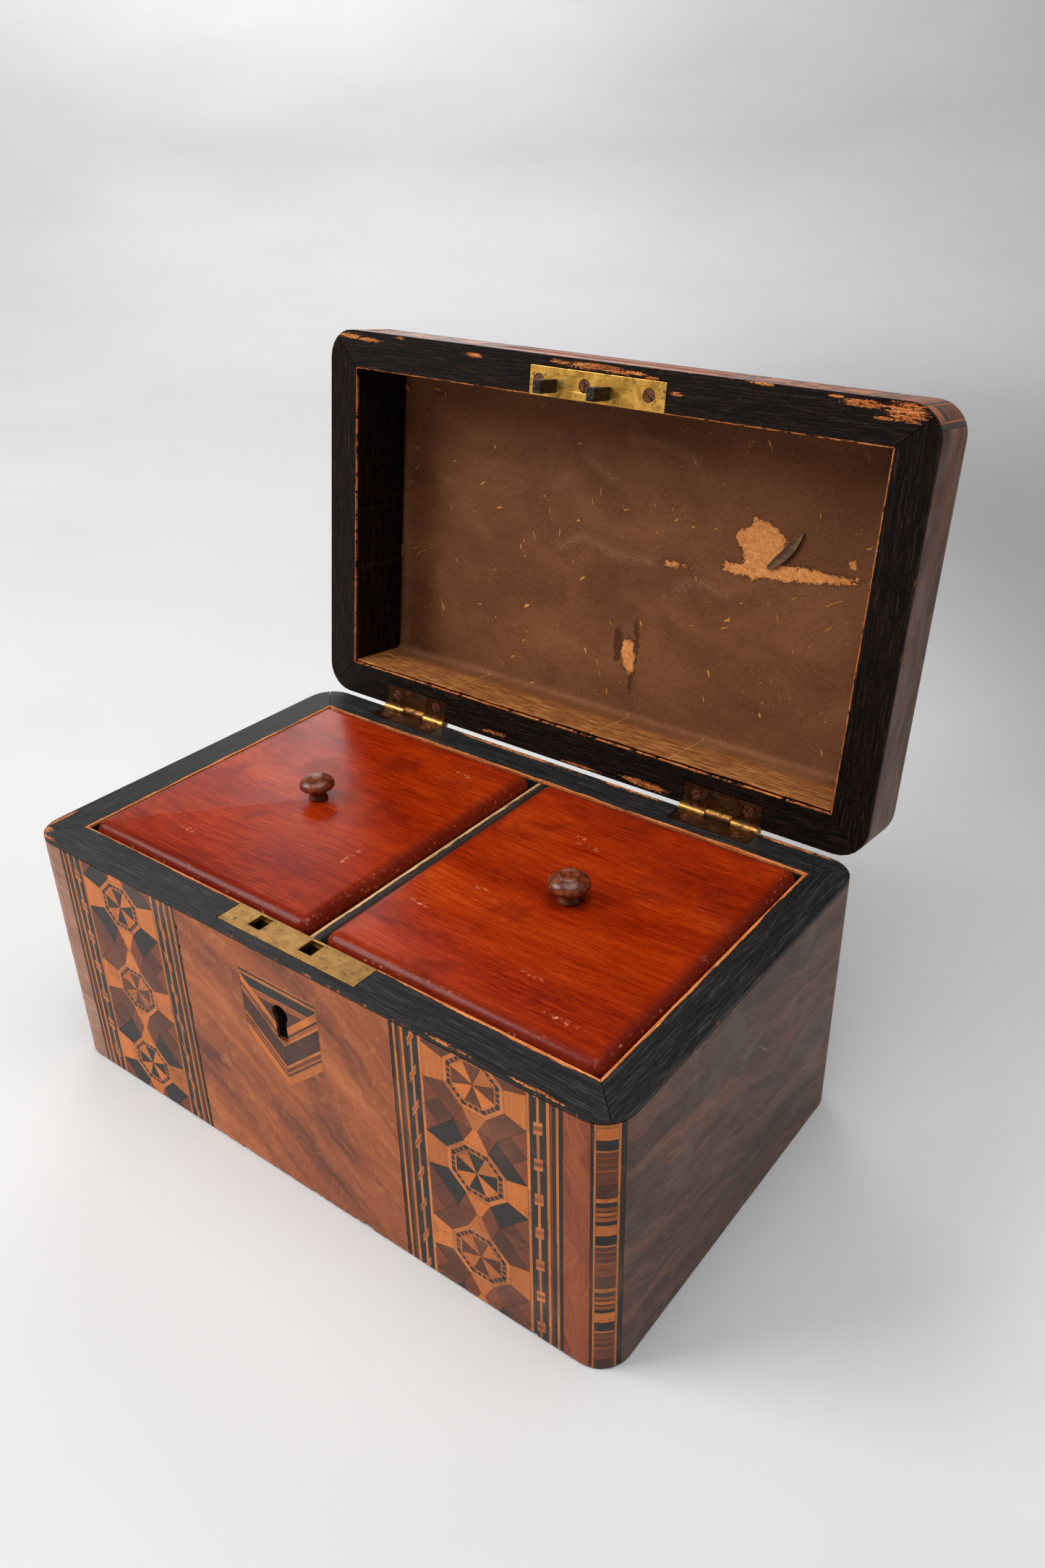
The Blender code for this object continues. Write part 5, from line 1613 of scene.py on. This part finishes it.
def signed_distance(x, y, poly):
    """Distance from a polygon's outline, less than nought inside it."""
    inside = False
    for (ax, ay), (bx, by) in around(poly):
        if (ay > y) != (by > y) and x < ax + (y - ay) * (bx - ax) / (by - ay):
            inside = not inside
    best = min(side_distance(x, y, a, b) for a, b in around(poly))
    return -best if inside else best


def make_lining():
    """Paper glued over the ceiling, turned down over the hinge side, with slack creases."""
    low, high = box("lid_lining", True)
    bend, half, far = 2.6, 0.4, 20.0
    x0, x1, y0 = low[0], high[0], low[1]
    y1, z1, foot = high[1], high[2], low[2]
    face = z1 - half
    path = [(y0 + (y1 - bend - y0) * k / 72, face, 0.0) for k in range(73)]
    centre_y, centre_z = y1 - bend, z1 - bend
    for k in range(1, 7):
        a = math.radians(90 - 15 * k)
        reach = bend - half
        path.append((centre_y + reach * math.cos(a), centre_z + reach * math.sin(a), 0.0))
    path += [(y1 - half, centre_z + (foot - centre_z) * k / 12, 1.0) for k in range(1, 13)]
    xs = [x0 + (x1 - x0) * k / 144 for k in range(145)]
    points, torn, stain, scuffed, creased = [], [], [], [], []
    for x in xs:
        for y, z, wall in path:
            rise = noise.noise(Vector((x * 0.028, y * 0.05 + z * 0.03, 0)))
            rise += 0.6 * noise.noise(Vector((x * 0.09, y * 0.03, 4.0)))
            slack = 0.28 * max(0.0, rise + 0.3)
            on_wall = wall > 0.5
            fold = far if on_wall else min(line_distance(x, y, line) for line in CREASES)
            fold += 0.9 * noise.noise(Vector((x * 0.16, y * 0.16, 7.0)))
            slack += 0.5 * math.exp(-((fold / 1.5) ** 2))
            edge = min(1.0, (x - x0) / 4, (x1 - x) / 4, (y - y0 + 0.1) / 4)
            slack *= max(0.0, edge)
            points.append((x, y - (slack if on_wall else 0), z - (0 if on_wall else slack)))
            for values, shapes in ((torn, TEARS), (stain, STAINS)):
                values.append(far if on_wall else min(signed_distance(x, y, p) for p in shapes))
            creased.append(math.exp(-((fold / 1.7) ** 2)))
            drop = centre_z - z
            scuffed.append(6.0 - drop if drop > 0 else 8.0 + (centre_y - y) * 0.5)
    mesh = mesh_of("lining_sheet", points, grid_faces(len(xs), len(path), False))
    for key, values in (("torn", torn), ("stain", stain), ("scuffed", scuffed), ("creased", creased)):
        layer = mesh.attributes.new(key, "FLOAT", "POINT")
        layer.data.foreach_set("value", np.array(values, np.float32))
    look = lining_paper("lining_paper")
    sheet = settle("lining_sheet", mesh, look, "lid", ["lid_lining"], True)
    thick = sheet.modifiers.new("paper", "SOLIDIFY")
    thick.thickness = 0.0003
    thick.offset = 1.0


make_lining()


def make_flap():
    """A curled scrap of paper that still hangs beside the large tear."""
    face = box("lid_lining", True)[1][2] - 0.7
    spine = ((56.4, -9.0), (58.9, -11.6), (61.8, -14.6), (64.6, -18.6), (66.8, -22.4))
    widths = (1.2, 3.0, 3.4, 3.2, 1.0)
    across = (0.78, 0.62)
    points = []
    for (x, y), wide in zip(spine, widths):
        for k in range(5):
            s = k / 4 - 0.5
            place = s * wide + 0.5 * noise.noise(Vector((x * 0.9, k * 0.7, 2.0)))
            points.append((x + place * across[0], y + place * across[1], face - 0.25 - 1.6 * s * s))
    mesh = mesh_of("lining_flap", points, grid_faces(len(spine), 5, False))
    look = bare_wood("flap_paper", (150, 110, 58), (112, 76, 38), (70, 46, 24), True)
    flap = settle("lining_flap", mesh, look, "lid", (), True)
    bend = flap.modifiers.new("round", "SUBSURF")
    bend.levels = bend.render_levels = 2
    thick = flap.modifiers.new("paper", "SOLIDIFY")
    thick.thickness = 0.00015


make_flap()

# ---------------------------------------------------------------- carried-over CAD parts

# worn patches of the rims, as (x, y, half length, half width)
BASE_RIM_PATCHES = (
    (-109.5, -63.5, 2.6, 2.0), (-105.0, -65.9, 5.0, 0.8), (-111.4, -56.0, 0.8, 6.0),
    (-70.0, 66.2, 12.0, 0.8), (-20.0, 66.2, 28.0, 0.8), (30.0, 66.4, 12.0, 0.8), (90.0, 66.2, 14.0, 0.8),
    (62.0, -66.4, 10.0, 0.5), (90.0, -66.3, 9.0, 0.6),
)
LID_RIM_PATCHES = (
    (-103.0, -65.0, 7.0, 1.0), (-94.0, -64.4, 6.0, 0.8), (-79.5, -66.2, 2.4, 0.5), (-46.8, -64.0, 4.0, 0.8),
    (-12.0, -65.4, 4.5, 0.7), (1.0, -65.2, 11.0, 1.2), (14.0, -64.8, 8.0, 0.7), (22.0, -63.8, 3.0, 1.1),
    (31.0, -60.5, 2.6, 0.6), (58.0, -66.6, 6.0, 0.4), (81.0, -65.9, 2.4, 0.5), (90.0, -65.0, 8.0, 1.0),
    (102.0, -64.2, 6.5, 2.8), (97.0, -61.9, 5.0, 0.6), (34.0, 65.0, 10.0, 1.3), (-30.0, 64.5, 6.0, 0.8),
    (8.0, 66.2, 9.0, 0.6),
)
EBONY = rim_wood(
    "ebonised_base", False, BASE_RIM_PATCHES, ((6, 6, 7), (25, 25, 26), (64, 62, 60))
)
EBONY_LID = rim_wood(
    "ebonised_lid", True, LID_RIM_PATCHES, ((3, 2, 2), (17, 11, 8), (60, 40, 30))
)
BRASS_LOCK = brass("brass_lock", (206, 164, 98), (186, 140, 78), (142, 104, 56), (84, 64, 40), 0.36)
BRASS_LINK = brass(
    "brass_link", (250, 206, 112), (232, 176, 80), (176, 126, 54), (64, 54, 30), 0.45, True
)
BRASS_DARK = brass("brass_hinge", (120, 78, 40), (78, 44, 20), (44, 24, 12), (26, 16, 11), 0.7, False, 66.4)
BRASS_DARK_LID = brass(
    "brass_hinge_lid", (124, 84, 42), (84, 50, 24), (46, 28, 14), (34, 34, 16), 0.7, True, 66.4
)
STEEL = iron("dark_steel", (92, 88, 84), (56, 52, 50), (30, 28, 27), (84, 52, 36))
STEEL_LID = iron("dark_steel_lid", (92, 88, 84), (56, 52, 50), (30, 28, 27), (84, 52, 36), True)
RUST = iron("rusty_steel", (150, 104, 84), (112, 70, 54), (66, 40, 32), (120, 66, 44))
RUST_LID = iron("rusty_steel_lid", (160, 112, 92), (122, 78, 60), (72, 44, 34), (128, 72, 48), True)
PINE = bare_wood("pine_board", (190, 150, 104), (160, 120, 78), (118, 84, 52))
PINE_LID = bare_wood("pine_lid_board", (160, 110, 66), (128, 84, 50), (90, 58, 36), True)
FOIL = tin_foil("tin_foil")

CARRIED = {
    EBONY: ("base_wall_front", "base_wall_back", "base_wall_left", "base_wall_right"),
    EBONY_LID: ("lid_wall_front", "lid_wall_back", "lid_wall_left", "lid_wall_right"),
    PINE: ("bottom_board",),
    PINE_LID: ("lid_top_board",),
    FOIL: ("liner_left", "liner_right"),
    BRASS_LOCK: ("lock_plate", "lock_case"),
    BRASS_LINK: ("link_plate",),
    BRASS_DARK: ("base_hinge_leaf_left", "base_hinge_leaf_right"),
    BRASS_DARK_LID: ("lid_hinge_leaf_left", "lid_hinge_leaf_right"),
    STEEL: ("lock_bolt", "lock_tumbler", "hinge_pin_left", "hinge_pin_right"),
    STEEL_LID: ("link_hook_left", "link_hook_right"),
    RUST: tuple(name for name in NODES if name.startswith("base_hinge_screw")),
    RUST_LID: tuple(
        name for name in NODES if name.startswith(("lid_hinge_screw", "link_plate_screw"))
    ),
}
SOFT_EDGES = {
    "lock_plate": 0.12, "link_plate": 0.12, "link_hook_left": 0.18, "link_hook_right": 0.18,
}
for look, names in CARRIED.items():
    for name in names:
        node = NODES[name]
        node.data.materials.clear()
        node.data.materials.append(look)
        if name in SOFT_EDGES:
            weld = node.modifiers.new("weld", "WELD")
            weld.merge_threshold = 0.000002
            soft = node.modifiers.new("soft_edges", "BEVEL")
            soft.width = SOFT_EDGES[name] * 0.001
            soft.segments = 2
            soft.limit_method = "ANGLE"
            soft.angle_limit = math.radians(40)
            soft.harden_normals = False

# ---------------------------------------------------------------- studio

FLOOR_RADIUS = 1.2
COVE = 2.6
WALL_TOP = 3.0


def make_floor():
    """Seamless paper: a flat floor that sweeps up all round into a low wall."""
    profile = [(FLOOR_RADIUS * k / 8, 0.0) for k in range(9)]
    profile += [
        (FLOOR_RADIUS + COVE * math.sin(a), COVE * (1 - math.cos(a)))
        for a in [math.pi / 2 * k / 16 for k in range(1, 17)]
    ]
    profile.append((FLOOR_RADIUS + COVE, WALL_TOP))
    sides_round = 96
    points = [(0.0, 0.0, 0.0)]
    for r, z in profile[1:]:
        for k in range(sides_round):
            a = math.tau * k / sides_round
            points.append((r * math.cos(a), r * math.sin(a), z))
    faces = [[0, 1 + k, 1 + (k + 1) % sides_round] for k in range(sides_round)]
    faces += grid_faces(len(profile) - 1, sides_round, first=1)
    mesh = bpy.data.meshes.new("studio_floor")
    mesh.from_pydata(points, [], faces)
    mesh.polygons.foreach_set("use_smooth", [True] * len(faces))
    floor = bpy.data.objects.new("studio_floor", mesh)
    bpy.context.scene.collection.objects.link(floor)
    mesh.materials.append(floor_paint())


make_floor()


def softbox(name, place, target, wide, tall, watts, colour=(1.0, 1.0, 1.0)):
    """A rectangular area light that faces target."""
    data = bpy.data.lights.new(name, "AREA")
    data.shape = "RECTANGLE"
    data.size = wide
    data.size_y = tall
    data.energy = watts
    data.color = colour
    light = bpy.data.objects.new(name, data)
    light.location = place
    light.rotation_euler = (Vector(target) - Vector(place)).to_track_quat("-Z", "Y").to_euler()
    bpy.context.scene.collection.objects.link(light)
    return light


softbox("key_left", (-1.1, -0.85, 1.25), (0.0, 0.0, 0.08), 0.9, 0.9, 27.0, (1.0, 0.985, 0.965))
softbox("overhead", (0.2, -0.1, 1.05), (0.05, 0.0, 0.0), 0.8, 0.7, 7.5)
softbox("window_back_left", (-1.15, 1.35, 1.0), (0.0, 0.0, 0.1), 0.9, 0.9, 5.0)
backdrop_light = softbox("backdrop_left", (-2.1, 1.75, 1.7), (-1.95, 2.3, 0.5), 1.8, 1.4, 32.0)
backdrop_light.visible_glossy = False

world = bpy.data.worlds.new("studio_air")
world.use_nodes = True
sky = world.node_tree.nodes["Background"]
sky.inputs["Color"].default_value = (0.95, 0.97, 1.0, 1.0)
sky.inputs["Strength"].default_value = 0.24
bpy.context.scene.world = world
bpy.context.scene.view_settings.view_transform = "Standard"
bpy.context.scene.view_settings.look = "None"

# ---------------------------------------------------------------- camera

AZIMUTH = math.radians(36.565)
ELEVATION = math.radians(28.865)
ROLL = math.radians(-0.597)
back = Vector(
    (
        math.sin(AZIMUTH) * math.cos(ELEVATION),
        -math.cos(AZIMUTH) * math.cos(ELEVATION),
        math.sin(ELEVATION),
    )
)
level_right = Vector((math.cos(AZIMUTH), math.sin(AZIMUTH), 0.0))
level_up = back.cross(level_right)
right = level_right * math.cos(ROLL) + level_up * math.sin(ROLL)
up = level_up * math.cos(ROLL) - level_right * math.sin(ROLL)
camera_data = bpy.data.cameras.new("camera")
camera_data.lens = 28.46
camera_data.shift_x = -0.0176
camera_data.shift_y = -0.0076
camera_data.clip_start = 0.01
camera = bpy.data.objects.new("camera", camera_data)
turn = Matrix((right, up, back)).transposed().to_4x4()
camera.matrix_world = Matrix.Translation((0.22408, -0.24066, 0.29568)) @ turn
bpy.context.scene.collection.objects.link(camera)
bpy.context.scene.camera = camera
